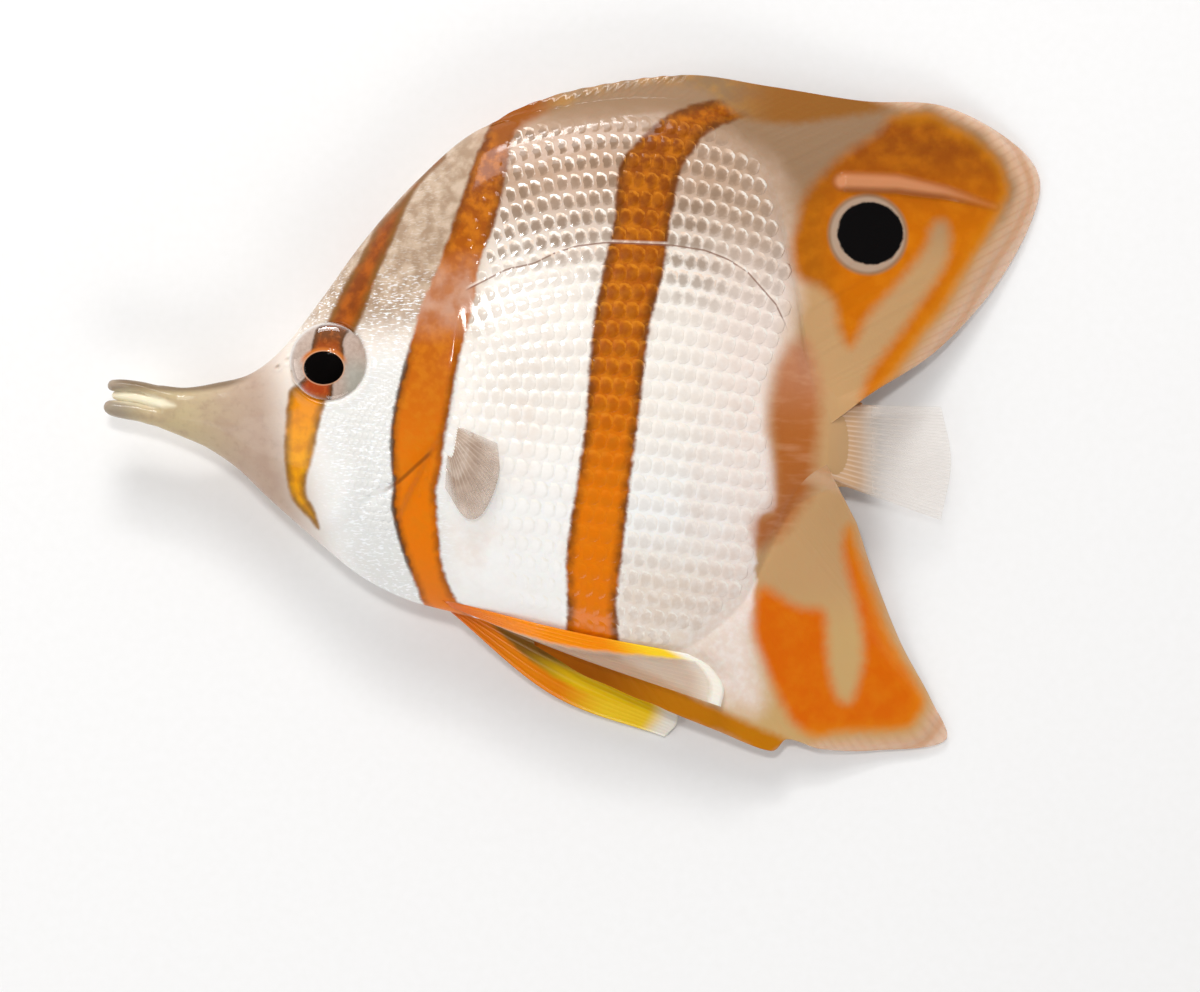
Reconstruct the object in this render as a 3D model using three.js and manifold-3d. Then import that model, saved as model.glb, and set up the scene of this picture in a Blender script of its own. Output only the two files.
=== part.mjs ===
// A copperband butterflyfish, life size, lying on its right side.
// Millimetres. +X runs from the snout to the tail, +Y from the belly to the back, +Z up from the floor
// through the fish to its left side. The origin is on the floor under the middle of the fish.
import * as THREE from "three";
import { mergeVertices } from "three/addons/utils/BufferGeometryUtils.js";
import Module from "manifold-3d";

const wasm = await Module();
wasm.setup();

// Driving dimensions
const MID_HEIGHT = 5.25; // of the fish's middle plane over the floor
const GAP = 0.3; // kept between two solids that touch
const FAR = 90; // beyond the fish on every side
const EDGE_SHARPNESS = 1.15; // 1 is an elliptic cross section, more is a leaner back and belly

const EYE = { x: -20.95, y: 4.35, radius: 3.33, dome: 0.95, depth: 2.5, rim: 0.42 };
const NOSTRILS = [
  { x: -24.6, y: 4.6, radius: 0.34 },
  { x: -25.5, y: 4.0, radius: 0.26 },
];

const FIN_THICKNESS = 0.5;
const RAY_HEIGHT = 0.16; // how far a soft ray stands out of the membrane on each face
const SPINE_HEIGHT = 0.3;
const ROOT_DEPTH = 1.1; // how far a median fin is sunk in the body before it is cut to it

// The body from the mouth's corner to the tail's root, as cross sections: place along the body, the
// back's x and y, the belly's x and y, and half the body's thickness there.
const BODY = [
  [0, -35.8, 2.5, -35.8, -1.2, 1.3],
  [1, -33.6, 2.3, -33.8, -2.0, 1.5],
  [2, -31.0, 2.7, -31.6, -3.0, 1.85],
  [3, -28.0, 3.5, -29.0, -4.8, 2.3],
  [4, -25.2, 5.7, -26.4, -7.3, 3.0],
  [5, -21.9, 9.9, -22.1, -11.1, 3.95],
  [6, -18.2, 15.0, -18.5, -14.0, 4.6],
  [7, -13.6, 20.2, -14.6, -16.0, 5.15],
  [8, -8.1, 24.7, -10.3, -17.2, 5.5],
  [9, -1.2, 26.5, -3.8, -18.8, 5.5],
  [10, 5.7, 27.3, 3.1, -20.5, 5.05],
  [11, 11.8, 26.4, 9.2, -20.4, 4.2],
  [12, 16.5, 21.5, 14.3, -16.7, 3.15],
  [13, 19.1, 12.4, 16.9, -11.8, 2.3],
  [14, 20.3, 5.2, 19.1, -8.1, 1.9],
  [15, 22.6, 1.7, 22.6, -6.4, 1.35],
];
const BODY_END = BODY[BODY.length - 1][0];

// The jaws from their tips back to the mouth's corner: x, upper y, lower y, half thickness.
const UPPER_JAW = [
  [-40.35, 2.6, 2.3, 0.3],
  [-40.1, 2.85, 2.12, 0.72],
  [-39.6, 2.98, 2.0, 0.95],
  [-38.6, 3.0, 1.95, 1.02],
  [-37.4, 2.8, 1.75, 1.1],
  [-36.1, 2.55, 1.05, 1.25],
];
const LOWER_JAW = [
  [-40.7, 0.75, 0.4, 0.3],
  [-40.4, 1.05, 0.08, 0.72],
  [-39.8, 1.2, -0.2, 0.95],
  [-38.6, 1.15, -0.45, 1.02],
  [-37.4, 1.0, -0.7, 1.1],
  [-36.1, 0.75, -1.15, 1.25],
];

// The gill opening and the cut above and below it, where the head ends, and the cut before the tail.
const HEAD_CUT = [
  [-6.6, 30],
  [-8.2, 24],
  [-9.2, 17],
  [-9.6, 9],
  [-10.0, 4],
  [-10.9, -1],
  [-13.2, -5.2],
  [-15.0, -9.5],
  [-15.6, -20],
];
const TAIL_CUT = [
  [19.9, 22],
  [19.1, 9],
  [17.6, -5],
  [16.2, -18],
];
const GILL_COVER_LIFT = 0.4; // how far its rim stands over the shoulder

// Fin outlines, as the tips of its rays from the first to the last: share of the fin's root, x, y, z.
const DORSAL = {
  from: 8.05,
  to: 14.75,
  rays: 38,
  spines: 9,
  rows: 6,
  tips: [
    [0, -6.3, 25.9, 5.1],
    [0.1, 0.4, 28.2, 4.8],
    [0.24, 9.6, 29.45, 4.3],
    [0.36, 17.0, 28.5, 3.8],
    [0.48, 25.2, 27.3, 2.9],
    [0.58, 32.0, 27.0, 1.9],
    [0.67, 37.6, 24.4, 0.9],
    [0.75, 40.5, 21.0, 0.35],
    [0.82, 39.4, 16.4, 0.35],
    [0.88, 36.0, 11.0, 0.8],
    [0.94, 31.2, 5.6, 2.2],
    [1, 25.6, 1.7, 4.4],
  ],
};
const ANAL = {
  from: 9.25,
  to: 14.6,
  rays: 24,
  spines: 3,
  rows: 6,
  tips: [
    [0, 1.2, -22.8, 4.9],
    [0.1, 6.8, -25.2, 4.3],
    [0.2, 12.2, -27.4, 3.6],
    [0.3, 17.1, -29.3, 2.6],
    [0.36, 18.6, -28.3, 2.4],
    [0.44, 21.6, -29.2, 1.7],
    [0.56, 26.6, -29.35, 0.7],
    [0.66, 32.5, -28.5, 0.35],
    [0.74, 31.2, -24.8, 0.35],
    [0.82, 28.6, -20.0, 1.0],
    [0.91, 26.2, -14.2, 2.6],
    [1, 24.5, -9.4, 4.4],
  ],
};
const CAUDAL = {
  rays: 17,
  rows: 5,
  root: [
    [0, 22.95, 0.85, 5.25],
    [1, 22.95, -5.75, 5.25],
  ],
  tips: [
    [0, 32.0, 0.7, 2.3],
    [0.5, 32.9, -4.1, 1.9],
    [1, 32.0, -9.2, 2.1],
  ],
};
// The side fins stand off the flank by the last number of each row, at the root and at the ray tips.
const PECTORAL = {
  rays: 14,
  rows: 5,
  root: [
    [0, -10.4, -0.9, -0.35],
    [1, -10.8, -3.1, -0.35],
  ],
  tips: [
    [0, -6.5, -2.6, 0.75],
    [0.3, -6.4, -5.4, 1.0],
    [0.6, -7.8, -8.6, 1.0],
    [0.8, -9.3, -8.9, 0.85],
    [1, -11.0, -6.4, 0.7],
  ],
};
// The pelvic fins, folded back: the left one lies along the belly, the right one on the floor.
const PELVIC_LEFT = {
  rays: 6,
  spines: 1,
  rows: 9,
  root: [
    [0, -11.6, -16.1, 6.2],
    [1, -10.6, -16.7, 6.3],
  ],
  middle: [
    [0, -0.9, -18.7, 6.95],
    [1, 0.0, -20.8, 6.8],
  ],
  tips: [
    [0, 10.4, -20.9, 6.3],
    [0.45, 12.9, -23.2, 6.05],
    [1, 12.6, -25.2, 5.9],
  ],
};
const PELVIC_RIGHT = {
  rays: 6,
  spines: 1,
  rows: 9,
  root: [
    [0, -11.0, -16.9, 4.3],
    [1, -9.4, -16.9, 4.2],
  ],
  middle: [
    [0, -1.9, -24.5, 1.5],
    [1, -0.9, -19.8, 2.7],
  ],
  tips: [
    [0, 7.9, -28.2, 0.42],
    [0.5, 9.0, -26.9, 0.6],
    [1, 9.2, -24.8, 0.9],
  ],
};
// The hollow in the right flank where the right pectoral fin lies folded: its outline and its height.
const POCKET = {
  outline: [
    [-9.9, -0.3],
    [-5.8, -2.1],
    [-5.7, -5.7],
    [-7.5, -9.3],
    [-9.5, -9.5],
    [-11.5, -6.7],
    [-11.4, -2.9],
    [-10.9, -0.3],
  ],
  height: 1.45,
};
// The pleat that stands on the left face of the soft dorsal fin, over the eyespot.
const PLEAT = { from: [23.3, 20.2], to: [36.6, 18.4], bow: 0.5, width: 1.7, height: 0.55 };

// A smooth curve through rows of [place, value, value ...], by cubic pieces whose slope at each row is
// that between its neighbours.
function through(rows) {
  const last = rows.length - 1;
  const slope = (i, k) => {
    const before = rows[Math.max(0, i - 1)];
    const after = rows[Math.min(last, i + 1)];
    return (after[k] - before[k]) / (after[0] - before[0]);
  };
  return (place) => {
    let i = 0;
    while (i < last - 1 && rows[i + 1][0] < place) i += 1;
    const step = rows[i + 1][0] - rows[i][0];
    const t = THREE.MathUtils.clamp((place - rows[i][0]) / step, 0, 1);
    return rows[i].slice(1).map((value, n) => {
      const k = n + 1;
      const fall = (1 + 2 * t) * (1 - t) * (1 - t);
      const leave = t * (1 - t) * (1 - t) * step * slope(i, k);
      const arrive = t * t * (t - 1) * step * slope(i + 1, k);
      return value * fall + leave + rows[i + 1][k] * (1 - fall) + arrive;
    });
  };
}

// A three.js geometry as a solid, turned right side out.
function solidOf(geometry) {
  const bare = new THREE.BufferGeometry();
  bare.setAttribute("position", geometry.getAttribute("position"));
  if (geometry.index) bare.setIndex(geometry.index);
  const merged = mergeVertices(bare, 1e-4);
  const vertProperties = new Float32Array(merged.getAttribute("position").array);
  const triVerts = new Uint32Array(merged.index.array);
  const made = new wasm.Manifold(new wasm.Mesh({ numProp: 3, vertProperties, triVerts }));
  if (made.volume() > 0) return made;
  for (let i = 0; i < triVerts.length; i += 3) {
    [triVerts[i], triVerts[i + 1]] = [triVerts[i + 1], triVerts[i]];
  }
  return new wasm.Manifold(new wasm.Mesh({ numProp: 3, vertProperties, triVerts }));
}

// The closed skin over rings of points, each ring a list of [x, y, z], with a fan over each end.
function skinOver(rings) {
  const round = rings[0].length;
  const positions = rings.flat(2);
  const index = [];
  for (let i = 0; i < rings.length - 1; i += 1) {
    for (let j = 0; j < round; j += 1) {
      const a = i * round + j;
      const b = i * round + ((j + 1) % round);
      index.push(a, b, b + round, a, b + round, a + round);
    }
  }
  const ends = [
    [rings[0], 0, false],
    [rings[rings.length - 1], (rings.length - 1) * round, true],
  ];
  for (const [ring, start, turned] of ends) {
    const centre = positions.length / 3;
    for (let k = 0; k < 3; k += 1) positions.push(ring.reduce((sum, p) => sum + p[k], 0) / round);
    for (let j = 0; j < round; j += 1) {
      const pair = [start + j, start + ((j + 1) % round)];
      if (!turned) pair.reverse();
      index.push(centre, ...pair);
    }
  }
  const geometry = new THREE.BufferGeometry();
  geometry.setAttribute("position", new THREE.Float32BufferAttribute(positions, 3));
  geometry.setIndex(index);
  return solidOf(geometry);
}

// One cross section: a lens between the back's point and the belly's, half as thick as "half".
function section(back, belly, half, sharpness, points) {
  return Array.from({ length: points }, (_, j) => {
    const turn = (2 * Math.PI * j) / points;
    const share = (1 + Math.cos(turn)) / 2;
    const side = Math.sign(Math.sin(turn)) * Math.abs(Math.sin(turn)) ** sharpness;
    return [
      belly[0] + (back[0] - belly[0]) * share,
      belly[1] + (back[1] - belly[1]) * share,
      MID_HEIGHT + half(2 * share - 1) * side,
    ];
  });
}

const bodyAt = through(BODY);

// The whole body, grown on every side by "grow". "lift" raises the flank at a place and a height.
function body(grow = 0, lift = () => 0) {
  const stations = 44;
  const points = 32;
  const rings = [];
  for (let i = 0; i <= stations; i += 1) {
    const place = (BODY_END * i) / stations;
    const [backX, backY, bellyX, bellyY, half] = bodyAt(place);
    const tall = Math.hypot(backX - bellyX, backY - bellyY);
    const out = grow / tall;
    const ends = i === 0 ? -grow : i === stations ? grow : 0;
    const back = [backX + (backX - bellyX) * out + ends, backY + (backY - bellyY) * out];
    const belly = [bellyX - (backX - bellyX) * out + ends, bellyY - (backY - bellyY) * out];
    const thick = (height) => half + grow + lift(place, height);
    const sharpness = THREE.MathUtils.lerp(1, EDGE_SHARPNESS, THREE.MathUtils.smoothstep(place, 3, 7));
    rings.push(section(back, belly, thick, sharpness, points));
  }
  return skinOver(rings);
}

// How far the flank stands from the middle plane over a point: the section through it is found by
// halving, and its height on that section gives the thickness.
function flank(x, y) {
  let low = 0;
  let high = BODY_END;
  for (let i = 0; i < 30; i += 1) {
    const [backX, backY, bellyX, bellyY] = bodyAt((low + high) / 2);
    const behind = (x - bellyX) * (backY - bellyY) - (y - bellyY) * (backX - bellyX) > 0;
    if (behind) low = (low + high) / 2;
    else high = (low + high) / 2;
  }
  const [, backY, , bellyY, half] = bodyAt(low);
  const height = THREE.MathUtils.clamp((2 * (y - bellyY)) / (backY - bellyY) - 1, -1, 1);
  return half * (1 - height * height) ** (EDGE_SHARPNESS / 2);
}

// A flat outline made as a solid from far under the floor up to a height.
function cutter(outline, height = FAR) {
  const shape = new THREE.Shape(outline.map(([x, y]) => new THREE.Vector2(x, y)));
  const geometry = new THREE.ExtrudeGeometry(shape, { depth: FAR + height, bevelEnabled: false });
  return solidOf(geometry.translate(0, 0, -FAR));
}

// What lies before and behind a cut, each half the gap away from it.
function before(cut) {
  const edge = cut.map(([x, y]) => [x - GAP / 2, y]);
  return cutter([[-FAR, FAR], ...edge, [-FAR, -FAR]]);
}
function behind(cut) {
  const edge = cut.map(([x, y]) => [x + GAP / 2, y]);
  return cutter([[FAR, FAR], ...edge, [FAR, -FAR]]);
}

// What lies over the floor.
const overFloor = solidOf(new THREE.BoxGeometry(2 * FAR, 2 * FAR, FAR).translate(0, 0, FAR / 2));

// The largest of a solid's separate bodies.
function largest(solid) {
  return solid.decompose().reduce((most, one) => (one.volume() > most.volume() ? one : most));
}

// A fin: a plate whose rays run from the root curve, through the middle curve if there is one, to their
// tips. Every ray is a ridge on both faces, and a spine a higher one. Both faces share one grid, and
// the plate never reaches under the floor.
function fin({ root, middle, tips, rays, rows, spines = 0, rootThickness = 0.9 }) {
  const columns = 2 * rays;
  const curves = [root, middle, tips].filter(Boolean);
  const faces = [[], []];
  for (let i = 0; i <= columns; i += 1) {
    const share = i / columns;
    const ray = curves.map((curve, n) => [n / (curves.length - 1), ...curve(share)]);
    const along = curves.length > 2 ? through(ray) : null;
    const crest = i % 2;
    const ridge = crest * (i < 2 * spines ? SPINE_HEIGHT : RAY_HEIGHT);
    for (let j = 0; j <= rows; j += 1) {
      const out = j / rows;
      const point = along ? along(out) : ray[0].slice(1).map((a, k) => a + (ray[1][k + 1] - a) * out);
      const plate = THREE.MathUtils.lerp(rootThickness, FIN_THICKNESS, Math.sqrt(out));
      const half = plate / 2 + ridge * (1 - 0.7 * out * out);
      faces[0].push([point[0], point[1], Math.max(point[2] + half, FIN_THICKNESS)]);
      faces[1].push([point[0], point[1], Math.max(point[2] - half, 0)]);
    }
  }
  const positions = faces.flat(2);
  const under = faces[0].length;
  const index = [];
  const at = (i, j) => i * (rows + 1) + j;
  for (let i = 0; i < columns; i += 1) {
    for (let j = 0; j < rows; j += 1) {
      const [a, b, c, d] = [at(i, j), at(i + 1, j), at(i + 1, j + 1), at(i, j + 1)];
      index.push(a, b, c, a, c, d);
      index.push(under + a, under + c, under + b, under + a, under + d, under + c);
    }
  }
  const rim = [];
  for (let i = 0; i < columns; i += 1) rim.push(at(i, 0));
  for (let j = 0; j < rows; j += 1) rim.push(at(columns, j));
  for (let i = columns; i > 0; i -= 1) rim.push(at(i, rows));
  for (let j = rows; j > 0; j -= 1) rim.push(at(0, j));
  rim.forEach((a, n) => {
    const b = rim[(n + 1) % rim.length];
    index.push(a, under + a, under + b, a, under + b, b);
  });
  const geometry = new THREE.BufferGeometry();
  geometry.setAttribute("position", new THREE.Float32BufferAttribute(positions, 3));
  geometry.setIndex(index);
  return solidOf(geometry);
}

// A median fin, whose root runs along the back or the belly, a little inside the body.
function medianFin(spec, edge) {
  const root = (share) => {
    const [backX, backY, bellyX, bellyY] = bodyAt(THREE.MathUtils.lerp(spec.from, spec.to, share));
    const tall = Math.hypot(backX - bellyX, backY - bellyY);
    const inward = ROOT_DEPTH / tall;
    const [x, y, toX, toY] =
      edge === "back" ? [backX, backY, bellyX, bellyY] : [bellyX, bellyY, backX, backY];
    return [x + (toX - x) * inward, y + (toY - y) * inward, MID_HEIGHT];
  };
  return fin({ ...spec, root, tips: through(spec.tips) });
}

// A pectoral fin on the flank of one side: +1 is the left, up, and -1 the right, down.
function pectoralFin(side) {
  const overFlank = (rows) => {
    const curve = through(rows);
    return (share) => {
      const [x, y, off] = curve(share);
      return [x, y, MID_HEIGHT + side * (flank(x, y) + off)];
    };
  };
  return fin({ ...PECTORAL, root: overFlank(PECTORAL.root), tips: overFlank(PECTORAL.tips) });
}

function pelvicFin({ root, middle, tips, ...spec }) {
  return fin({ ...spec, root: through(root), middle: through(middle), tips: through(tips) });
}

// A jaw: rings of a round section from its tip to the mouth's corner.
function jaw(rows) {
  return skinOver(
    rows.map(([x, upper, lower, half]) => section([x, upper], [x, lower], () => half, 1, 14)),
  );
}

// An eyeball whose equator lies in the skin of one side. "grow" makes the socket.
function eyeball(side, grow = 0) {
  const ball = new THREE.SphereGeometry(1, 24, 10).rotateX(Math.PI / 2);
  const points = ball.getAttribute("position");
  const level = flank(EYE.x, EYE.y);
  for (let i = 0; i < points.count; i += 1) {
    const out = points.getZ(i);
    const reach = (out > 0 ? EYE.dome : EYE.depth) + grow;
    points.setXYZ(
      i,
      EYE.x + points.getX(i) * (EYE.radius + grow),
      EYE.y + points.getY(i) * (EYE.radius + grow),
      MID_HEIGHT + side * (level + out * reach),
    );
  }
  return solidOf(ball);
}

// The fold of skin round an eye.
function eyeRim(side) {
  const ring = new THREE.TorusGeometry(EYE.radius + GAP + EYE.rim / 2, EYE.rim, 5, 24);
  const level = MID_HEIGHT + side * (flank(EYE.x, EYE.y) - EYE.rim / 2);
  return solidOf(ring.translate(EYE.x, EYE.y, level));
}

function nostril({ x, y, radius }, side) {
  const pit = new THREE.SphereGeometry(radius, 8, 6);
  return solidOf(pit.translate(x, y, MID_HEIGHT + side * flank(x, y)));
}

// The pleat: a low ridge along a bowed line on the upper face of the dorsal fin.
function pleat(fromHeight, toHeight) {
  const steps = 10;
  const rings = [];
  for (let i = 0; i <= steps; i += 1) {
    const t = i / steps;
    const x = THREE.MathUtils.lerp(PLEAT.from[0], PLEAT.to[0], t);
    const y = THREE.MathUtils.lerp(PLEAT.from[1], PLEAT.to[1], t) + PLEAT.bow * 4 * t * (1 - t);
    const z = THREE.MathUtils.lerp(fromHeight, toHeight, t);
    const full = Math.sqrt(Math.min(1, 0.35 + 6 * t)) * (1 - 0.55 * t);
    const ring = Array.from({ length: 8 }, (_, j) => {
      const turn = (2 * Math.PI * j) / 8;
      return [x, y + (PLEAT.width / 2) * full * Math.cos(turn), z + PLEAT.height * full * Math.sin(turn)];
    });
    rings.push(ring);
  }
  return skinOver(rings);
}

// Body
const grown = body(GAP);
const whole = body();
const covered = body(0, (place, height) => {
  const towardsRim = THREE.MathUtils.smoothstep(place, 5.4, 7.8);
  const overBelly = THREE.MathUtils.smoothstep(height, -0.85, -0.5);
  const underNape = 1 - THREE.MathUtils.smoothstep(height, 0.25, 0.6);
  return GILL_COVER_LIFT * towardsRim * overBelly * underNape;
});
const pocket = cutter(POCKET.outline, POCKET.height);
let head = covered.intersect(before(HEAD_CUT)).intersect(overFloor);
let trunk = whole.intersect(behind(HEAD_CUT)).intersect(before(TAIL_CUT)).intersect(overFloor);
const tail = whole.intersect(behind(TAIL_CUT));
for (const side of [1, -1]) {
  head = head.add(eyeRim(side)).subtract(eyeball(side, GAP));
  for (const pit of NOSTRILS) head = head.subtract(nostril(pit, side));
}
trunk = trunk.subtract(pocket);
head = head.subtract(pocket);

// Fins
const dorsal = medianFin(DORSAL, "back").subtract(grown);
const anal = medianFin(ANAL, "belly").subtract(grown);
const caudal = fin({ ...CAUDAL, root: through(CAUDAL.root), tips: through(CAUDAL.tips) });
const pectoralLeft = pectoralFin(1).subtract(grown);
const pectoralRight = pectoralFin(-1);
const pelvicLeft = pelvicFin(PELVIC_LEFT).subtract(grown);
const pelvicRight = pelvicFin(PELVIC_RIGHT).subtract(grown);

// Materials
const finish = (color, roughness) => new THREE.MeshStandardMaterial({ color, roughness, metalness: 0 });
const SILVER = finish(0xd9d4d0, 0.35);
const SNOUT = finish(0xb9a690, 0.45);
const ORANGE = finish(0xd9780f, 0.45);
const CLEAR_FIN = finish(0xd8c4b2, 0.4);
const EYE_BLACK = finish(0x120c0a, 0.1);

function node(name, solid, material) {
  const { numProp, numVert, vertProperties, triVerts } = largest(solid).getMesh();
  const points = new Float32Array(3 * numVert);
  for (let i = 0; i < numVert; i += 1) points.set(vertProperties.subarray(i * numProp, i * numProp + 3), 3 * i);
  const geometry = new THREE.BufferGeometry();
  geometry.setAttribute("position", new THREE.BufferAttribute(points, 3));
  geometry.setIndex(new THREE.BufferAttribute(triVerts, 1));
  const mesh = new THREE.Mesh(geometry, material);
  mesh.name = name;
  return mesh;
}

const fish = new THREE.Group();
fish.add(
  node("head", head, SILVER),
  node("upper_jaw", jaw(UPPER_JAW), SNOUT),
  node("lower_jaw", jaw(LOWER_JAW), SNOUT),
  node("eye_left", eyeball(1), EYE_BLACK),
  node("eye_right", eyeball(-1), EYE_BLACK),
  node("trunk", trunk, SILVER),
  node("tail", tail, SILVER),
  node("dorsal_fin", dorsal.add(pleat(4.3, 1.6)), ORANGE),
  node("anal_fin", anal, ORANGE),
  node("caudal_fin", caudal, CLEAR_FIN),
  node("pectoral_fin_left", pectoralLeft, CLEAR_FIN),
  node("pectoral_fin_right", pectoralRight, CLEAR_FIN),
  node("pelvic_fin_left", pelvicLeft, ORANGE),
  node("pelvic_fin_right", pelvicRight, ORANGE),
);

export default fish;
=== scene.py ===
import bpy
import numpy as np
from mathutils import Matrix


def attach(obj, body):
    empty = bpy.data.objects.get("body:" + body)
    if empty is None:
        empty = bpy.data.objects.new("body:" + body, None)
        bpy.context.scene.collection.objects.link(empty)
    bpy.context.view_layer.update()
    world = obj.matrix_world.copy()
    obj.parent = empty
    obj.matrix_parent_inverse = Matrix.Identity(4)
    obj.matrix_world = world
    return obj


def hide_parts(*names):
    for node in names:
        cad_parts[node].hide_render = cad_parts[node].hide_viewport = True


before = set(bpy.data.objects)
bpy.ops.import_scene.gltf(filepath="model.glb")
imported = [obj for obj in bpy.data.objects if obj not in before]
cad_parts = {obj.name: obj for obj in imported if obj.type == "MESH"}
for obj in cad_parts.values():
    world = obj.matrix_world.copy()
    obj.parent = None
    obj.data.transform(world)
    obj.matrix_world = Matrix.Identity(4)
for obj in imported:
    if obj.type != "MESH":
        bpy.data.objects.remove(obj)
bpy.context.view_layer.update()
MM = 0.001

# Camera and floor. The fish lies on its right side on a pale level floor and is seen straight from above,
# with its snout to the left. The picture is 103.7 mm wide at the height of the fish.
PICTURE_WIDTH = 103.7
PICTURE_MIDDLE = (2.25, -7.09)
CAMERA_HEIGHT = 400.0
FISH_HEIGHT = 6.0
SENSOR = 36.0

camera_data = bpy.data.cameras.new("camera")
camera_data.sensor_width = SENSOR
camera_data.lens = SENSOR * (CAMERA_HEIGHT - FISH_HEIGHT) / PICTURE_WIDTH
camera = bpy.data.objects.new("camera", camera_data)
camera.location = (PICTURE_MIDDLE[0] * MM, PICTURE_MIDDLE[1] * MM, CAMERA_HEIGHT * MM)
bpy.context.scene.collection.objects.link(camera)
bpy.context.scene.camera = camera
bpy.context.scene.view_settings.view_transform = "Standard"


def srgb(red, green, blue):
    """A colour of 0 to 255 a channel as the linear light that Blender mixes."""
    share = np.array([red, green, blue]) / 255
    linear = np.where(share <= 0.04045, share / 12.92, ((share + 0.055) / 1.055) ** 2.4)
    return (*linear.tolist(), 1.0)


def add_node(tree, kind, inputs=(), **settings):
    """Adds a node, sets its settings, and gives each input a plain value or another node's output."""
    node = tree.nodes.new(kind)
    for name, value in settings.items():
        setattr(node, name, value)
    for name, value in dict(inputs).items():
        if isinstance(value, bpy.types.NodeSocket):
            tree.links.new(value, node.inputs[name])
        else:
            node.inputs[name].default_value = value
    return node


def new_material(name):
    """An empty material and its node tree."""
    material = bpy.data.materials.new(name)
    material.use_nodes = True
    material.node_tree.nodes.clear()
    return material, material.node_tree


def noise(tree, size, detail=3, stretch=(1, 1, 1)):
    """Smooth noise from 0 to 1 whose lumps are about size millimetres wide, drawn out along an axis by
    stretch."""
    place = add_node(tree, "ShaderNodeTexCoord").outputs["Object"]
    scale = [1 / (size * MM * s) for s in stretch]
    mapped = add_node(tree, "ShaderNodeMapping", {"Vector": place, "Scale": scale}).outputs[0]
    made = add_node(tree, "ShaderNodeTexNoise", {"Vector": mapped, "Scale": 1.0, "Detail": detail})
    return made.outputs["Fac"]


def rise(tree, value, low, high, start=0, end=1):
    """A smooth step that goes from start to end while value goes from low to high."""
    inputs = {"Value": value, "From Min": low, "From Max": high, "To Min": start, "To Max": end}
    step = add_node(tree, "ShaderNodeMapRange", inputs, interpolation_type="SMOOTHSTEP")
    return step.outputs["Result"]


def number(tree, part):
    """A part of a sum: a plain number, a node's output, or a smooth step written as what rise takes."""
    return rise(tree, *part) if isinstance(part, tuple) else part


def calculate(tree, operation, *parts):
    """One arithmetic step on up to three parts."""
    inputs = {i: number(tree, part) for i, part in enumerate(parts)}
    return add_node(tree, "ShaderNodeMath", inputs, operation=operation).outputs[0]


def plus(tree, a, b):
    return calculate(tree, "ADD", a, b)


def minus(tree, a, b):
    return calculate(tree, "SUBTRACT", a, b)


def times(tree, first, *parts):
    """The product of its parts."""
    product = number(tree, first)
    for part in parts:
        product = calculate(tree, "MULTIPLY", product, part)
    return product


def layer(tree, share, under, over):
    """The colour over laid on the colour under, by share. A colour is three numbers from 0 to 255 or a
    node's output."""
    inputs = {i: srgb(*c) if isinstance(c, tuple) else c for i, c in ((6, under), (7, over))}
    return add_node(tree, "ShaderNodeMix", {0: share} | inputs, data_type="RGBA").outputs[2]


def painted(tree, colour, *coats):
    """A colour with coats laid over it in turn, each a colour and the parts whose product is its share."""
    for over, *parts in coats:
        colour = layer(tree, times(tree, *parts), colour, over)
    return colour


def bumps(tree, height, strength, depth):
    """The normal of a surface with fine lumps up to depth millimetres high."""
    inputs = {"Height": height, "Strength": strength, "Distance": depth * MM}
    return add_node(tree, "ShaderNodeBump", inputs).outputs[0]


def finish(tree, inputs):
    """Ends a material with one shader."""
    shader = add_node(tree, "ShaderNodeBsdfPrincipled", inputs)
    add_node(tree, "ShaderNodeOutputMaterial", {"Surface": shader.outputs[0]})


def floor_material():
    """Matt off-white with a very fine grain."""
    material, tree = new_material("floor")
    colour = layer(tree, noise(tree, 0.8), (246, 245, 243), (250, 249, 248))
    finish(tree, {"Base Color": colour, "Roughness": 0.7})
    return material


FLOOR_HALF = 600.0
FLOOR_LEVEL = -0.03
floor_mesh = bpy.data.meshes.new("floor")
corners = [(-1, -1), (1, -1), (1, 1), (-1, 1)]
floor_points = [(x * FLOOR_HALF * MM, y * FLOOR_HALF * MM, FLOOR_LEVEL * MM) for x, y in corners]
floor_mesh.from_pydata(floor_points, [], [(0, 1, 2, 3)])
floor_mesh.materials.append(floor_material())
floor = bpy.data.objects.new("floor", floor_mesh)
bpy.context.scene.collection.objects.link(floor)


# Light. Broad soft lamps stand behind the fish's back, before its snout and at its belly's side. A small one
# nearly overhead makes the wet shine on its shoulder, and a narrow strip draws thin glints on its eye and its
# back. The sky is pale near the horizon and dim overhead.
SKY = {"low": 0.15, "high": 0.95, "pale": 0.86, "dim": 0.12}


def soft_lamp(name, place, size, watts):
    """A rectangular lamp at a place in millimetres, turned to face the fish."""
    data = bpy.data.lights.new(name, "AREA")
    data.shape = "RECTANGLE"
    data.size, data.size_y = size[0] * MM, size[1] * MM
    data.energy = watts
    lamp = bpy.data.objects.new(name, data)
    lamp.location = [v * MM for v in place]
    towards = -lamp.location
    lamp.rotation_euler = towards.to_track_quat("-Z", "Y").to_euler()
    bpy.context.scene.collection.objects.link(lamp)


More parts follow.
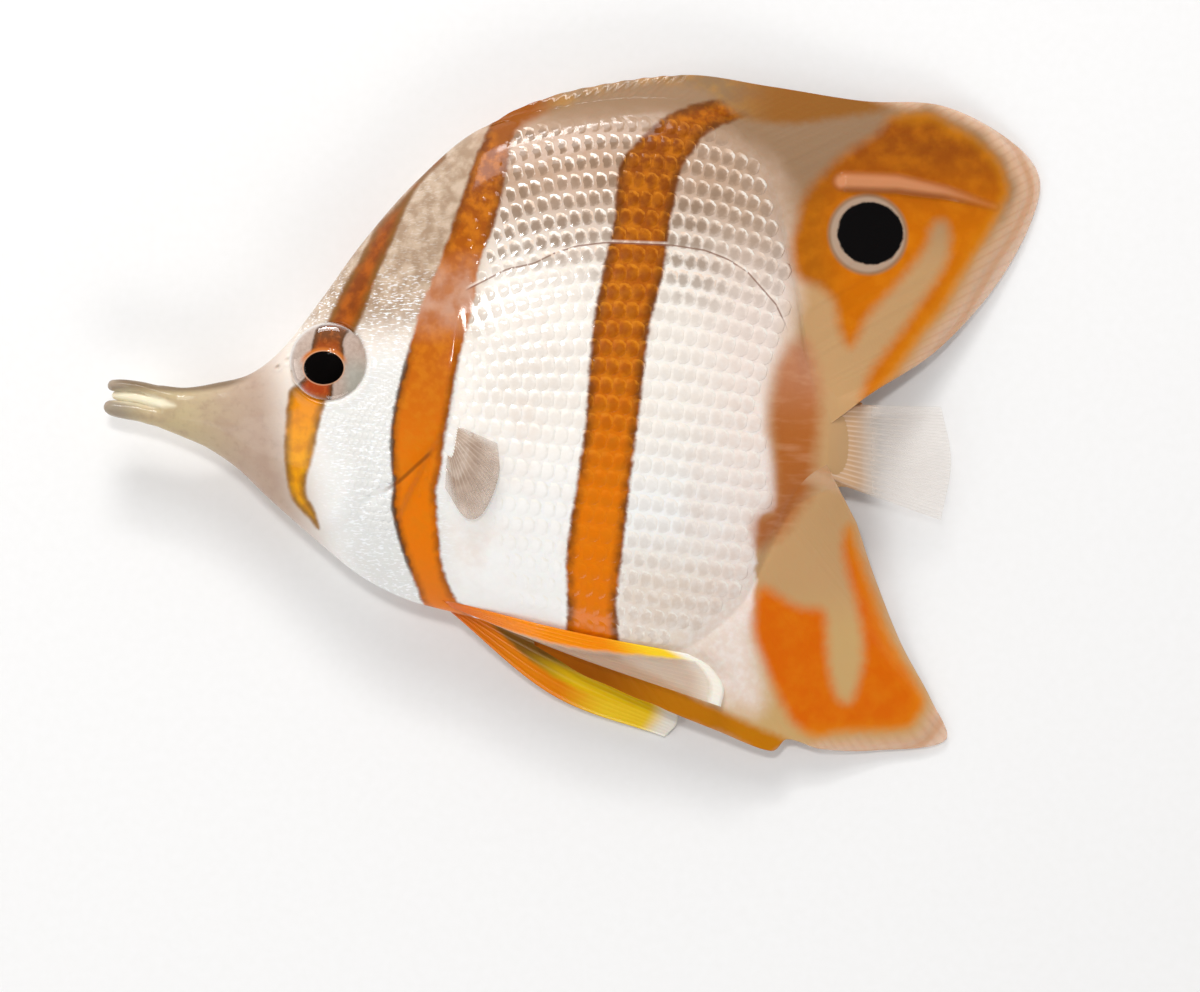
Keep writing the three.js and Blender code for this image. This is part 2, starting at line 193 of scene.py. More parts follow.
soft_lamp("lamp_back", (-60, 430, 335), (260, 170), 0.9)
soft_lamp("lamp_snout", (-380, -60, 380), (260, 320), 0.5)
soft_lamp("lamp_belly", (60, -430, 320), (300, 150), 0.4)
soft_lamp("lamp_above", (-26, 84, 400), (52, 38), 0.42)
soft_lamp("strip_back", (-60, 490, 300), (170, 44), 0.6)
world = bpy.data.worlds.new("world")
bpy.context.scene.world = world
world.use_nodes = True
sky = world.node_tree
direction = add_node(sky, "ShaderNodeTexCoord").outputs["Generated"]
sky_height = add_node(sky, "ShaderNodeSeparateXYZ", {0: direction}).outputs[2]
background = sky.nodes["Background"]
background.inputs["Color"].default_value = srgb(250, 250, 252)
sky.links.new(rise(sky, sky_height, *SKY.values()), background.inputs["Strength"])

# Skin. The fish's flesh from the snout to the root of the tail is under one skin, with the gill covers,
# the hollows of the eyes and the nostrils pressed into it. It is a lens in every cross section.
MID_HEIGHT = 5.25
EDGE_SHARPNESS = 1.15
COAT = 0.07
# Each row is a place along the body, the back's x and y there, the belly's, and the half thickness.
BODY = np.array(
    [
        [0, -35.8, 2.5, -35.8, -1.2, 1.3],
        [1, -33.6, 2.3, -33.8, -2.0, 1.5],
        [2, -31.0, 2.7, -31.6, -3.0, 1.85],
        [3, -28.0, 3.5, -29.0, -4.8, 2.3],
        [4, -25.2, 5.7, -26.4, -7.3, 3.0],
        [5, -21.9, 9.9, -22.1, -11.1, 3.95],
        [6, -18.2, 15.0, -18.5, -14.0, 4.6],
        [7, -13.6, 20.2, -14.6, -16.0, 5.15],
        [8, -8.1, 24.7, -10.3, -17.2, 5.5],
        [9, -1.2, 26.5, -3.8, -18.8, 5.5],
        [10, 5.7, 27.3, 3.1, -20.5, 5.05],
        [11, 11.8, 26.4, 9.2, -20.4, 4.2],
        [12, 16.5, 21.5, 14.3, -16.7, 3.15],
        [13, 19.1, 12.4, 16.9, -11.8, 2.3],
        [14, 20.3, 5.2, 19.1, -8.1, 1.9],
        [15, 22.6, 1.7, 22.6, -6.4, 1.35],
        [15.5, 23.8, 1.3, 23.8, -6.3, 0.75],
        [16, 25.0, 1.0, 25.0, -6.2, 0.12],
    ]
)
TAIL_DROOP = {"from": 22.0, "slope": 0.31}
SKIN_STATIONS = 320
SKIN_AROUND = 240
BODY_END = BODY[-1, 0]
EYE = {"x": -20.95, "y": 4.35, "radius": 3.33, "dome": 0.95}
NOSTRILS = [(-24.6, 4.6, 0.34), (-25.5, 4.0, 0.26)]
HEAD_CUT = [
    (30, -6.6), (24, -8.2), (17, -9.2), (9, -9.6), (4, -10), (-1, -10.9), (-5.2, -13.2), (-9.5, -15),
    (-20, -15.6),
]
GILL_CREASE = [(-11.9, -3.1), (-15.0, -5.9), (-17.6, -7.4)]
CHEEK_CREASE = [(-19.6, -0.6), (-18.6, -4.5), (-19.6, -8.6), (-22.6, -9.6)]


def along(rows, place):
    """A smooth curve through rows of [place, values], by cubic pieces whose slope at each row is that
    between its neighbours."""
    rows = np.asarray(rows, float)
    knots, values = rows[:, 0], rows[:, 1:]
    before = np.r_[0, np.arange(len(knots) - 1)]
    after = np.r_[np.arange(1, len(knots)), len(knots) - 1]
    slope = (values[after] - values[before]) / (knots[after] - knots[before])[:, None]
    place = np.asarray(place, float)
    i = np.clip(np.searchsorted(knots, place, side="right") - 1, 0, len(knots) - 2)
    step = (knots[i + 1] - knots[i])[..., None]
    t = np.clip((place[..., None] - knots[i][..., None]) / step, 0, 1)
    fall = (1 + 2 * t) * (1 - t) ** 2
    leave = t * (1 - t) ** 2 * step * slope[i]
    arrive = t**2 * (t - 1) * step * slope[i + 1]
    return values[i] * fall + leave + values[i + 1] * (1 - fall) + arrive


def smooth(value, low, high):
    """A smooth step from 0 to 1 while value goes from low to high."""
    t = np.clip((value - low) / (high - low), 0, 1)
    return t * t * (3 - 2 * t)


def section_through(x, y):
    """The cross section that each point of the flank lies on, found by halving, and its height there: -1 at
    the belly's edge, 1 at the back's."""
    low, high = np.zeros(np.shape(x)), np.full(np.shape(x), BODY_END)
    for _ in range(22):
        middle = (low + high) / 2
        back_x, back_y, belly_x, belly_y, _half = np.moveaxis(along(BODY, middle), -1, 0)
        behind = (x - belly_x) * (back_y - belly_y) - (y - belly_y) * (back_x - belly_x) > 0
        low, high = np.where(behind, middle, low), np.where(behind, high, middle)
    _back_x, back_y, _belly_x, belly_y, half = np.moveaxis(along(BODY, low), -1, 0)
    beyond = np.where(x > BODY[-1, 1], 9.0, 1.0)
    return low, beyond * (2 * (y - belly_y) / (back_y - belly_y) - 1), half


def flank(x, y):
    """How far the bare flank stands off the middle plane at each point."""
    _place, height, half = section_through(x, y)
    return half * np.clip(1 - height**2, 0, 1) ** (EDGE_SHARPNESS / 2)


def line_distance(x, y, line):
    """The least distance from each point to a line of straight pieces."""
    near = np.full(np.shape(x), np.inf)
    for (ax, ay), (bx, by) in zip(line[:-1], line[1:]):
        reach = (bx - ax) ** 2 + (by - ay) ** 2
        t = np.clip(((x - ax) * (bx - ax) + (y - ay) * (by - ay)) / reach, 0, 1)
        near = np.minimum(near, np.hypot(x - ax - t * (bx - ax), y - ay - t * (by - ay)))
    return near


def line_side(x, y, line):
    """The distance from each point to a line of straight pieces, negative on the line's right."""
    near = line_distance(x, y, line)
    side = np.zeros(np.shape(x))
    for start, end in zip(line[:-1], line[1:]):
        cross = (end[0] - start[0]) * (y - start[1]) - (end[1] - start[1]) * (x - start[0])
        nearest = line_distance(x, y, [start, end]) <= near
        side = np.where(nearest, np.sign(cross), side)
    return side * near


def head_end(y):
    """Where the gill cover's rim is at each height."""
    return along(HEAD_CUT[::-1], y)[..., 0]


def relief(x, y):
    """How far the skin stands off the bare flank: the gill cover swells towards its rim and drops behind
    it, its corner and the cheek carry shallow creases, and the eye and nostrils sit in hollows with raised
    rims."""
    ahead = head_end(y) - x
    span = smooth(y, -14, -8) * (1 - smooth(y, 3, 10))
    cover = 0.36 * smooth(ahead, 9, 1.5) * smooth(ahead, -0.15, 0.25) * span
    crease = -0.16 * np.exp(-((line_distance(x, y, GILL_CREASE) / 0.22) ** 2))
    cheek = 0.12 * smooth(line_distance(x, y, CHEEK_CREASE), 1.6, 0.1)
    out = np.hypot(x - EYE["x"], y - EYE["y"]) - EYE["radius"]
    orbit = 0.14 * np.exp(-(((out - 0.35) / 0.3) ** 2)) - 1.1 * smooth(out, 0.12, -0.4)
    pits = np.zeros(np.shape(x))
    for pit_x, pit_y, radius in NOSTRILS:
        near = np.hypot(x - pit_x, y - pit_y) / radius
        pits += 0.1 * np.exp(-(((near - 1.2) / 0.4) ** 2)) - 0.35 * smooth(near, 1.0, 0.3)
    return cover + crease + cheek + orbit + pits


def grid_faces(rows, columns, around=False):
    """The quads of a grid whose points lie row after row. around joins its last column to its first."""
    j = np.arange(columns if around else columns - 1)
    i = np.arange(rows - 1)[:, None] * columns
    k = (j + 1) % columns
    return np.stack([i + j, i + k, i + columns + k, i + columns + j], axis=-1).reshape(-1, 4)


def points_of(mesh):
    """A mesh's points, in metres."""
    points = np.empty(len(mesh.vertices) * 3)
    mesh.vertices.foreach_get("co", points)
    return points.reshape(-1, 3)


def keep_marks(mesh, marks):
    """Keeps named numbers on a mesh's points, for its material."""
    for name, numbers in marks.items():
        kept = mesh.attributes.new(name, "FLOAT", "POINT")
        kept.data.foreach_set("value", np.asarray(numbers, np.float32).ravel())


def right_side_out(mesh):
    """Turns a closed mesh's faces outwards if its volume comes out negative."""
    mesh.calc_loop_triangles()
    corners = np.empty(len(mesh.loop_triangles) * 3, int)
    mesh.loop_triangles.foreach_get("vertices", corners)
    a, b, c = np.moveaxis(points_of(mesh)[corners.reshape(-1, 3)], 1, 0)
    if np.einsum("ij,ij->i", a, np.cross(b, c)).sum() < 0:
        mesh.flip_normals()


def piece(name, points, faces, material, marks=None):
    """A smooth piece on the root body from points in millimetres and lists of corners, with marks kept on
    its points."""
    mesh = bpy.data.meshes.new(name)
    mesh.from_pydata((np.asarray(points) * MM).tolist(), [], faces)
    mesh.validate()
    mesh.polygons.foreach_set("use_smooth", np.ones(len(mesh.polygons), bool))
    right_side_out(mesh)
    keep_marks(mesh, marks or {})
    mesh.materials.append(material)
    made = bpy.data.objects.new(name, mesh)
    bpy.context.scene.collection.objects.link(made)
    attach(made, "root")
    return made


def shell(rings, name, material):
    """A closed skin over rings of points, with a fan of faces over each end."""
    rows, around = rings.shape[:2]
    points = np.concatenate([rings.reshape(-1, 3), rings[:1].mean(axis=1), rings[-1:].mean(axis=1)])
    j = np.arange(around)
    k = (j + 1) % around
    first, last = rows * around, rows * around + 1
    faces = grid_faces(rows, around, around=True).tolist()
    faces += np.stack([np.full(around, first), k, j], axis=-1).tolist()
    end = (rows - 1) * around
    faces += np.stack([np.full(around, last), end + j, end + k], axis=-1).tolist()
    return piece(name, points, faces, material)


def body_rings(stations, around):
    """Rings from the mouth's corner to the tail's root. Round a ring the height follows the cosine of the
    turn and the half thickness its sine, raised to the sharpness, so that the edges are finely divided."""
    place = np.linspace(0, BODY_END, stations)
    back_x, back_y, belly_x, belly_y, half = np.moveaxis(along(BODY, place), -1, 0)[:, :, None]
    turn = np.linspace(0, 2 * np.pi, around, endpoint=False)[None, :]
    share = (1 + np.cos(turn)) / 2
    sharpness = 1 + (EDGE_SHARPNESS - 1) * smooth(place, 3, 7)[:, None]
    x = belly_x + (back_x - belly_x) * share
    y = belly_y + (back_y - belly_y) * share
    side = np.sign(np.sin(turn))
    off = np.maximum(half - COAT, 0.08) * np.abs(np.sin(turn)) ** sharpness
    off = off + relief(x, y) * np.abs(np.sin(turn)) ** 0.5
    middle = MID_HEIGHT - TAIL_DROOP["slope"] * np.maximum(x - TAIL_DROOP["from"], 0)
    return np.stack([x, y, np.maximum(middle + side * off, 0.01)], axis=-1)


# Jaws. The snout ends in two short beak-like jaws, slightly open, each a rounded rod with a swollen lip, with
# a pale lining between them. They are joined to the skin and the join is smoothed. Each row is a place along
# the jaw, its x, its upper and lower edge, and its half thickness.
UPPER_JAW = [
    [0.0, -40.35, 2.62, 2.3, 0.16],
    [0.06, -40.22, 2.84, 2.12, 0.52],
    [0.2, -39.85, 2.98, 1.98, 0.88],
    [0.45, -38.9, 3.0, 1.97, 0.98],
    [1.0, -37.4, 2.8, 1.72, 1.08],
    [1.5, -36.1, 2.54, 1.0, 1.2],
    [2.2, -34.4, 2.2, 0.5, 1.25],
]
LOWER_JAW = [
    [0.0, -40.7, 0.78, 0.42, 0.16],
    [0.06, -40.55, 1.02, 0.18, 0.52],
    [0.2, -40.15, 1.2, -0.1, 0.88],
    [0.45, -39.2, 1.18, -0.36, 0.98],
    [1.0, -37.6, 1.02, -0.66, 1.08],
    [1.5, -36.1, 0.72, -1.12, 1.2],
    [2.2, -34.4, 0.5, -1.3, 1.25],
]
MOUTH_LINING = [
    [0.0, -40.0, 1.72, 1.5, 0.1],
    [0.1, -39.8, 1.95, 1.3, 0.36],
    [0.5, -38.8, 2.1, 1.05, 0.6],
    [1.0, -37.4, 1.95, 0.7, 0.85],
    [1.5, -36.1, 1.6, 0.3, 1.1],
    [2.2, -34.4, 1.2, 0.0, 1.2],
]
JAW_INSET = 0.02
JOIN = (-37.0, -33.4)
SMOOTHING_ROUNDS = 14


def jaw_rings(rows, stations=60, around=40):
    """Oval rings along a jaw, packed closer towards its round tip."""
    place = rows[-1][0] * np.linspace(0, 1, stations) ** 2
    x, upper, lower, half = np.moveaxis(along(rows, place), -1, 0)[:, :, None]
    turn = np.linspace(0, 2 * np.pi, around, endpoint=False)[None, :]
    y = (upper + lower) / 2 + (upper - lower) / 2 * np.cos(turn)
    return np.stack([x + 0 * turn, y, MID_HEIGHT + (half - JAW_INSET) * np.sin(turn)], axis=-1)


def joined(whole, parts):
    """The whole united with its parts as one solid. The parts are then taken away."""
    for part in parts:
        union = whole.modifiers.new("union", "BOOLEAN")
        union.operation = "UNION"
        union.solver = "MANIFOLD"
        union.object = part
    depsgraph = bpy.context.evaluated_depsgraph_get()
    mesh = bpy.data.meshes.new_from_object(whole.evaluated_get(depsgraph))
    whole.modifiers.clear()
    whole.data = mesh
    for part in parts:
        bpy.data.objects.remove(part)
    return whole


def relax(mesh, low_x, high_x, rounds):
    """Evens out the points between two places along the fish, each moved half way to its neighbours'
    middle."""
    points = points_of(mesh)
    edges = np.empty(len(mesh.edges) * 2, int)
    mesh.edges.foreach_get("vertices", edges)
    a, b = edges.reshape(-1, 2).T
    neighbours = np.bincount(np.r_[a, b], minlength=len(points))[:, None]
    x = points[:, 0] / MM
    share = (0.5 * smooth(x, low_x, low_x + 0.5) * (1 - smooth(x, high_x - 0.5, high_x)))[:, None]
    for _ in range(rounds):
        middle = np.zeros_like(points)
        np.add.at(middle, a, points[b])
        np.add.at(middle, b, points[a])
        points += share * (middle / np.maximum(neighbours, 1) - points)
    mesh.vertices.foreach_set("co", points.ravel())
    mesh.update()


# Markings. Every piece of skin, scale and fin carries the same marks: how far each point lies inside the
# copper bars, the eyespot, the pale stripes and the silver flank, by which the paints below are laid.
MARKS = {
    "eye_bar": [
        [
            (-11.6, 22.8), (-13.3, 20.5), (-15, 18.3), (-16.8, 16.5), (-17.6, 15), (-18.5, 13.1),
            (-19.4, 11.6), (-20.2, 10), (-21.4, 6.6), (-19.6, 6.2), (-18.3, 8.1), (-17.6, 10),
            (-16.8, 12.3), (-15.6, 15), (-14.2, 18.5), (-12.9, 20.4), (-11.2, 22.1),
        ],
        [
            (-22.6, 3.2), (-24.2, 2.1), (-24.5, 1.2), (-24.7, -1), (-24.8, -3.4), (-24.5, -6.4),
            (-23.9, -7.8), (-22.7, -9), (-22, -9.9), (-22.5, -8), (-23.1, -7), (-23, -5.4), (-22.5, -3.9),
            (-21.9, -1), (-21.3, 1.2), (-21.2, 2.8),
        ],
    ],
    "second_bar": [
        [
            (-6.4, 26.6), (-7.7, 23.7), (-8.4, 22.1), (-9, 20.2), (-9.9, 17.6), (-10.7, 15), (-11.8, 12),
            (-12.9, 9.6), (-13.7, 6.8), (-14.4, 4), (-15, 1.5), (-15.5, -1.3), (-15.5, -4.4),
            (-15.3, -6.1), (-15.5, -8), (-15, -10.5), (-14.4, -12.5), (-13.6, -14.7), (-12.2, -17.6),
            (-8.7, -17.8), (-10.1, -16.2), (-11.1, -14), (-11.5, -11.8), (-11.7, -9), (-11.8, -6.4),
            (-11.3, -4.4), (-11.1, -2.3), (-10.3, 2.2), (-9.7, 5.1), (-9, 7.7), (-8.4, 10.3), (-8, 13.1),
            (-6.8, 16.3), (-5.9, 20.2), (-5.4, 23.7), (-4.5, 26.6),
        ],
    ],
    "third_bar": [
        [
            (10.9, 26.8), (8, 25.6), (5.6, 23.5), (4.1, 21.5), (3.7, 19.2), (3.5, 16.2), (2.9, 13.9),
            (2.3, 10.8), (1.7, 7.3), (1.4, 3.8), (1, -1.4), (0.1, -7.4), (-0.6, -12.6), (-0.5, -16.1),
            (-0.3, -21.2), (3.5, -21.4), (3.6, -16.1), (4.1, -12.2), (4.8, -5.7), (5.7, 1.2), (6.3, 6.7),
            (7.1, 10), (7.8, 13), (8.2, 16.2), (8.7, 18.7), (9.1, 20.9), (10.2, 22.6), (11.8, 24.5),
            (16.1, 26.2), (19.5, 27.1), (16.1, 27.8),
        ],
    ],
    "back_edge": [
        [
            (-6.8, 25.4), (-4.7, 27.2), (-1.2, 28.6), (2.2, 29.6), (5.7, 30.2), (10.9, 30.6), (16.5, 30.2),
            (22.1, 28.5), (27.7, 27.3), (26.4, 26.4), (23, 25.8), (18.7, 25.2), (14.8, 25.6), (12.2, 27.5),
            (10, 28.5), (5.7, 28.5), (2.2, 27.8), (-1.2, 26.4), (-4.2, 25.1), (-6.4, 22.8),
        ],
    ],
    "silver": [
        [
            (-42.7, 6.4), (-28, 6.4), (-21.1, 14.6), (-12.4, 25.5), (-6.7, 25.9), (-1.2, 25.2),
            (5.7, 25.6), (10.9, 24.8), (14.8, 23.2), (17.6, 20.9), (19, 17.6), (19.3, 11.6), (18.7, 8.1),
            (18.2, 5.5), (17.1, 2.5), (16.7, -0.7), (17.1, -3.8), (17.4, -7.9), (16.1, -9.2),
            (15.7, -12.6), (15.6, -16.9), (15.8, -20.4), (15.9, -25.4), (10.9, -24.6), (2.2, -23.3),
            (-11.6, -19.8), (-23.7, -14.6), (-42.7, -5.7),
        ],
    ],
    "rear_orange": [
        [
            (19.4, 16.8), (19.9, 18.8), (21.7, 21), (23.7, 22.8), (26.1, 24.3), (28, 26.1), (31.1, 26.4),
            (33.2, 25.3), (35.3, 24.2), (37.2, 22.3), (38.1, 19.9), (37.5, 18.2), (36.6, 16.5),
            (35.3, 14.3), (33.7, 11.8), (32.2, 9.2), (30.1, 6.6), (28, 3.6), (26.1, 1.5), (24.8, 0.4),
            (25.3, 2.9), (26.6, 4.9), (28.5, 7.3), (30.1, 9.7), (31.6, 11.8), (32.6, 13.8), (32.7, 16.2),
            (31.9, 16.9), (31.1, 16.2), (30.6, 14.6), (29.3, 12.8), (27.5, 10.7), (25.6, 8.6), (24, 5.9),
            (23, 7.3), (22.5, 9.7), (21.2, 11), (19.4, 11.8), (18.8, 13.8), (19, 15.6),
        ],
        [
            (16.4, -15), (19.2, -16.6), (21.5, -17), (21.9, -18.3), (22.1, -21.3), (22.8, -24.3),
            (24, -25.1), (24.8, -23.2), (25.2, -20.7), (24.8, -17.7), (24.2, -15.2), (23.5, -12.7),
            (23.4, -10.9), (24, -9.7), (24.8, -12.1), (26, -15.2), (27.6, -19.2), (29.4, -22.3),
            (30.7, -24.8), (30.2, -26.4), (28.6, -27.6), (23.2, -27.8), (21.1, -28.2), (19.2, -27),
            (17.7, -24.5), (16.4, -21.3), (15.6, -19.2), (15.6, -16.8),
        ],
    ],
    "tail_bar": [
        [
            (19.4, 6.4), (20.5, 5.5), (21.2, 2.4), (21.2, -0.5), (20.8, -3.8), (20.5, -6.6), (19.2, -8.7),
            (18, -10.3), (15.8, -11.6), (15.6, -9.2), (17.1, -7.9), (17.2, -3.8), (16.8, -0.7), (17, 1.5),
            (17.8, 4.7),
        ],
    ],
    "anal_front": [
        [
            (-5.5, -18.2), (-4.6, -20.6), (-2.6, -22.2), (-0.9, -23.2), (1, -23.9), (2.9, -24.6),
            (5.7, -25.6), (9.2, -27.2), (12.6, -28.4), (14.5, -29.2), (16.1, -30.2), (17.5, -30.1),
            (18.8, -28.6), (16.1, -27.3), (14.3, -26.4), (10.9, -24.8), (7.4, -22.8), (4.4, -21.3),
            (2.2, -20.2),
        ],
    ],
    "mouth": [
        [
            (-40.4, 1.6), (-39.6, 1.98), (-38, 1.9), (-36.2, 1.5), (-34.4, 0.7), (-36.2, 0.6), (-38, 0.9),
            (-39.6, 1.15),
        ],
    ],
    "solid": [
        [
            (-6.8, 28), (10.9, 32.3), (27.3, 26.8), (31.1, 26.6), (33.2, 25.5), (35.4, 24.4), (37.3, 22.5),
            (38.4, 19.9), (37.8, 18.1), (36.9, 16.3), (35.5, 14.2), (34, 11.6), (32.4, 9), (30.3, 6.4),
            (28.3, 3.5), (26.4, 1.2), (25.1, 0), (23, -2.2), (16.1, -1.4), (-6.4, 1.2),
        ],
        [
            (-6.5, -17.5), (-3.6, -21.4), (2.2, -23.9), (9.2, -26.3), (14.5, -28.3), (16.1, -29.8),
            (18.7, -28.6), (23.2, -28.1), (28.7, -27.8), (30.4, -26.5), (30.9, -24.9), (29.6, -22.2),
            (27.8, -19.1), (26.3, -15.1), (25.1, -12), (24.3, -9.2), (22.1, -6.6), (15.2, -5.7),
            (-1.2, -7.4),
        ],
    ],
}
GILL_EDGE = [
    (-13.9, 6), (-14.4, 4), (-15, 1.5), (-15.5, -1.3), (-15.5, -4.4), (-15.3, -6.1), (-15.5, -8),
    (-15, -10.5), (-14.4, -12.5), (-13.7, -14.3),
]
EYESPOT = (25.72, 15.72)
EYESPOT_RING = (25.5, 15.62)
PLEAT = {"line": [(23.2, 20.2), (28.2, 20.1), (32.5, 19.4), (36.8, 18.2)], "width": 0.88, "height": 0.5}
LATERAL_LINE = [
    (-9.4, 10.4), (-5.7, 12.3), (-3.4, 12.8), (-1.6, 13.7), (0.3, 14.3), (2.7, 14.6), (8.5, 14.4),
    (11.2, 14), (13.1, 13.3), (14.9, 12.2), (17.4, 9.4), (18.6, 6.9),
]
BAR_EDGE = (96, 52, 12)


def rounded(outline, steps=5):
    """A closed outline with its corners rounded by a smooth curve through its points."""
    points = np.asarray(outline, float)
    knots = np.arange(-1, len(points) + 2)
    rows = np.column_stack([knots, points[knots % len(points)]])
    return along(rows, np.arange(0, len(points), 1 / steps))


def inside(x, y, outline):
    """How far each point lies inside a closed outline, negative outside it: the least distance to a side,
    signed by whether a line to the right crosses the sides an odd number of times."""
    line = rounded(outline)
    line = np.concatenate([line, line[:1]])
    odd = np.zeros(np.shape(x), bool)
    for (ax, ay), (bx, by) in zip(line[:-1], line[1:]):
        rise_y = by - ay if by != ay else 1e-9
        odd ^= ((ay > y) != (by > y)) & (x < ax + (y - ay) * (bx - ax) / rise_y)
    distance = line_distance(x, y, line)
    return np.where(odd, distance, -distance)


def pleat_share(x):
    """The pleat's share of its full width: it narrows towards the tail."""
    return 1.1 - 0.5 * smooth(x, 26, 37)


def marks_at(x, y):
    """Every mark at each point, in millimetres."""
    marks = {name: np.max([inside(x, y, o) for o in outlines], axis=0) for name, outlines in MARKS.items()}
    marks["eyespot"] = np.hypot(x - EYESPOT[0], (y - EYESPOT[1]) * 1.06)
    marks["ring"] = np.hypot(x - EYESPOT_RING[0], y - EYESPOT_RING[1])
    marks["pleat"] = line_distance(x, y, PLEAT["line"]) - PLEAT["width"] * pleat_share(x)
    for name, line in (("lateral", LATERAL_LINE), ("gill_edge", GILL_EDGE), ("crease", GILL_CREASE)):
        marks[name] = line_side(x, y, line)
    return marks


def mark(tree, name):
    """A mark kept on the points, as a number."""
    return add_node(tree, "ShaderNodeAttribute", attribute_name=name).outputs["Fac"]


def distance_to(tree, line):
    """The distance from a marked line, on either side."""
    return calculate(tree, "ABSOLUTE", mark(tree, line))


def laid_over(tree, under, over, name, ragged, soft):
    """A paint laid inside a mark, with a ragged soft edge, and how deep inside it each point lies."""
    edge = calculate(tree, "MULTIPLY_ADD", noise(tree, 0.7), 2 * ragged, -ragged)
    depth = plus(tree, mark(tree, name), edge)
    return painted(tree, under, [over, (depth, -soft, soft)]), depth


def dark_edge(tree, under, depth, paint, width, strength):
    """A dusky band along the inside of a mark's edge, strongest at the edge, that comes and goes."""
    uneven = (noise(tree, 1.3, 2), 0.25, 0.6, 0.45, 1)
    return painted(tree, under, [paint, (depth, -0.3, 0.1), (depth, width, 0.05, 0, strength), uneven])


def coordinates(tree):
    """Places along the fish and from belly to back, in millimetres."""
    place = add_node(tree, "ShaderNodeTexCoord").outputs["Object"]
    axes = add_node(tree, "ShaderNodeSeparateXYZ", {0: place}).outputs
    return (times(tree, axes[i], 1 / MM) for i in (0, 1))


def painted_glints(tree):
    """Short slanting flecks of painted highlight, where the cheek's tiny scales would catch the light."""
    place = add_node(tree, "ShaderNodeTexCoord").outputs["Object"]
    inputs = {"Vector": place, "Rotation": (0, 0, -0.95), "Scale": (1900, 7000, 3000)}
    turned = add_node(tree, "ShaderNodeMapping", inputs).outputs[0]
    fleck = add_node(tree, "ShaderNodeTexNoise", {"Vector": turned, "Scale": 1.0, "Detail": 2.0})
    return rise(tree, fleck.outputs["Fac"], 0.52, 0.68)


def pearly_flank(tree, x, y):
    """Pearl: dusky under the back, white below, warmer behind, cloudy, and mottled brown on the nape."""
    rear = painted(tree, (244, 224, 212), [(194, 162, 136), (y, 8, 18)])
    nape = painted(tree, (170, 142, 116), [(206, 182, 158), (noise(tree, 1.1, 5), 0.32, 0.7)])
    return painted(
        tree,
        (254, 245, 234),
        [(190, 156, 130), (y, 10, 21)],
        [(250, 248, 244), (y, 1, -9, 0, 0.9)],
        [(228, 206, 186), (y, -8, -16, 0, 0.8), (x, 0, 6)],
        [rear, (x, 8, 16, 0, 0.8)],
        [(226, 196, 176), (noise(tree, 6), 0.5, 0.72, 0, 0.3)],
        [(255, 252, 248), (noise(tree, 0.6, 5), 0.35, 0.75, 0, 0.4), (y, 10, 2, 0.2, 1)],
        [nape, (x, -6, -10), (y, 4, 10)],
    )


def bare_snout(tree, x, y):
    """Tan bare skin, greyer at the jaws' tips and brown over the snout's ridge, with a pale line of the
    mouth. The ridge is where y is more than 2.3 and a share of the square of the distance from x -34."""
    bend = times(tree, calculate(tree, "POWER", plus(tree, x, 34), 2), 0.03)
    ridge = minus(tree, minus(tree, y, 2.3), bend)
    bare = painted(
        tree,
        (198, 178, 138),
        [(188, 162, 142), (x, -35, -27)],
        [(156, 142, 124), (x, -36.5, -39.6, 0, 0.9)],
        [(168, 136, 120), (noise(tree, 1.7, 4), 0.45, 0.7, 0, 0.3)],
        [(150, 126, 106), (noise(tree, 0.6, 5), 0.5, 0.8, 0, 0.3)],
        [(112, 88, 62), (ridge, -0.7, -0.1, 0, 0.85), (x, -27, -30)],
    )
    return laid_over(tree, bare, (246, 236, 206), "mouth", 0.1, 0.3)[0]


def body_paint(tree, x, y):
    """The fleshy tan of the fins' roots and the pearly flank laid over it, with a silver cheek of fine
    painted glints and a bare snout. The flank's edge is soft over the back and sharp along the belly."""
    slant = calculate(tree, "MULTIPLY_ADD", y, 0.22, x)
    cheek = times(tree, (x, -9.5, -12.5), (slant, -24.5, -20.5))
    pearl = painted(
        tree,
        pearly_flank(tree, x, y),
        [bare_snout(tree, x, y), (slant, -21.5, -27.5)],
        [(224, 224, 220), cheek, (y, 7, 3, 0, 0.7)],
        # painted highlight: white glints flecked over the cheek
        [(255, 255, 255), cheek, (y, 13.5, 9.5, 0.15, 1), painted_glints(tree)],
    )
    ragged = plus(tree, mark(tree, "silver"), minus(tree, noise(tree, 1.4), 0.5))
    soft = plus(tree, (y, -8, 6, 0.3, 1.7), (y, -16.5, -20, 0, 1.6))
    return painted(
        tree,
        (198, 156, 108),
        [(154, 122, 92), (y, 12, 21)],
        [(206, 168, 112), (y, -14, -20)],
        [pearl, (calculate(tree, "DIVIDE", ragged, soft), -1, 1)],
    )


def copper_bars(tree, colour, y):
    """The second and third bar: orange below and copper above, woven with a lighter orange, with dark
    edges. The second fades to a rosy blush round y 10, where its edges fade too."""
    copper = painted(tree, (234, 122, 0), [(178, 90, 2), (y, -10, 12)], [(146, 72, 2), (y, 10, 22)])
    weave = painted(tree, copper, [(216, 126, 16), (noise(tree, 0.9, 4), 0.38, 0.66)])
    copper = painted(tree, copper, [weave, (y, -16, 4, 0.2, 0.6)])
    colour, depth = laid_over(tree, colour, copper, "third_bar", 0.22, 0.2)
    colour = dark_edge(tree, colour, depth, BAR_EDGE, 1, 0.85)
    near = calculate(tree, "ABSOLUTE", minus(tree, y, 10))
    blush = painted(tree, (206, 164, 140), [(186, 122, 84), (noise(tree, 1.6), 0.35, 0.7)])
    faded = painted(tree, copper, [blush, (near, 0.5, 4.5, 0.8, 0)])
    colour, depth = laid_over(tree, colour, faded, "second_bar", 0.22, 0.18)
    edged = dark_edge(tree, colour, depth, BAR_EDGE, 0.8, 0.6)
    return painted(tree, colour, [edged, (near, 2, 5.5)])


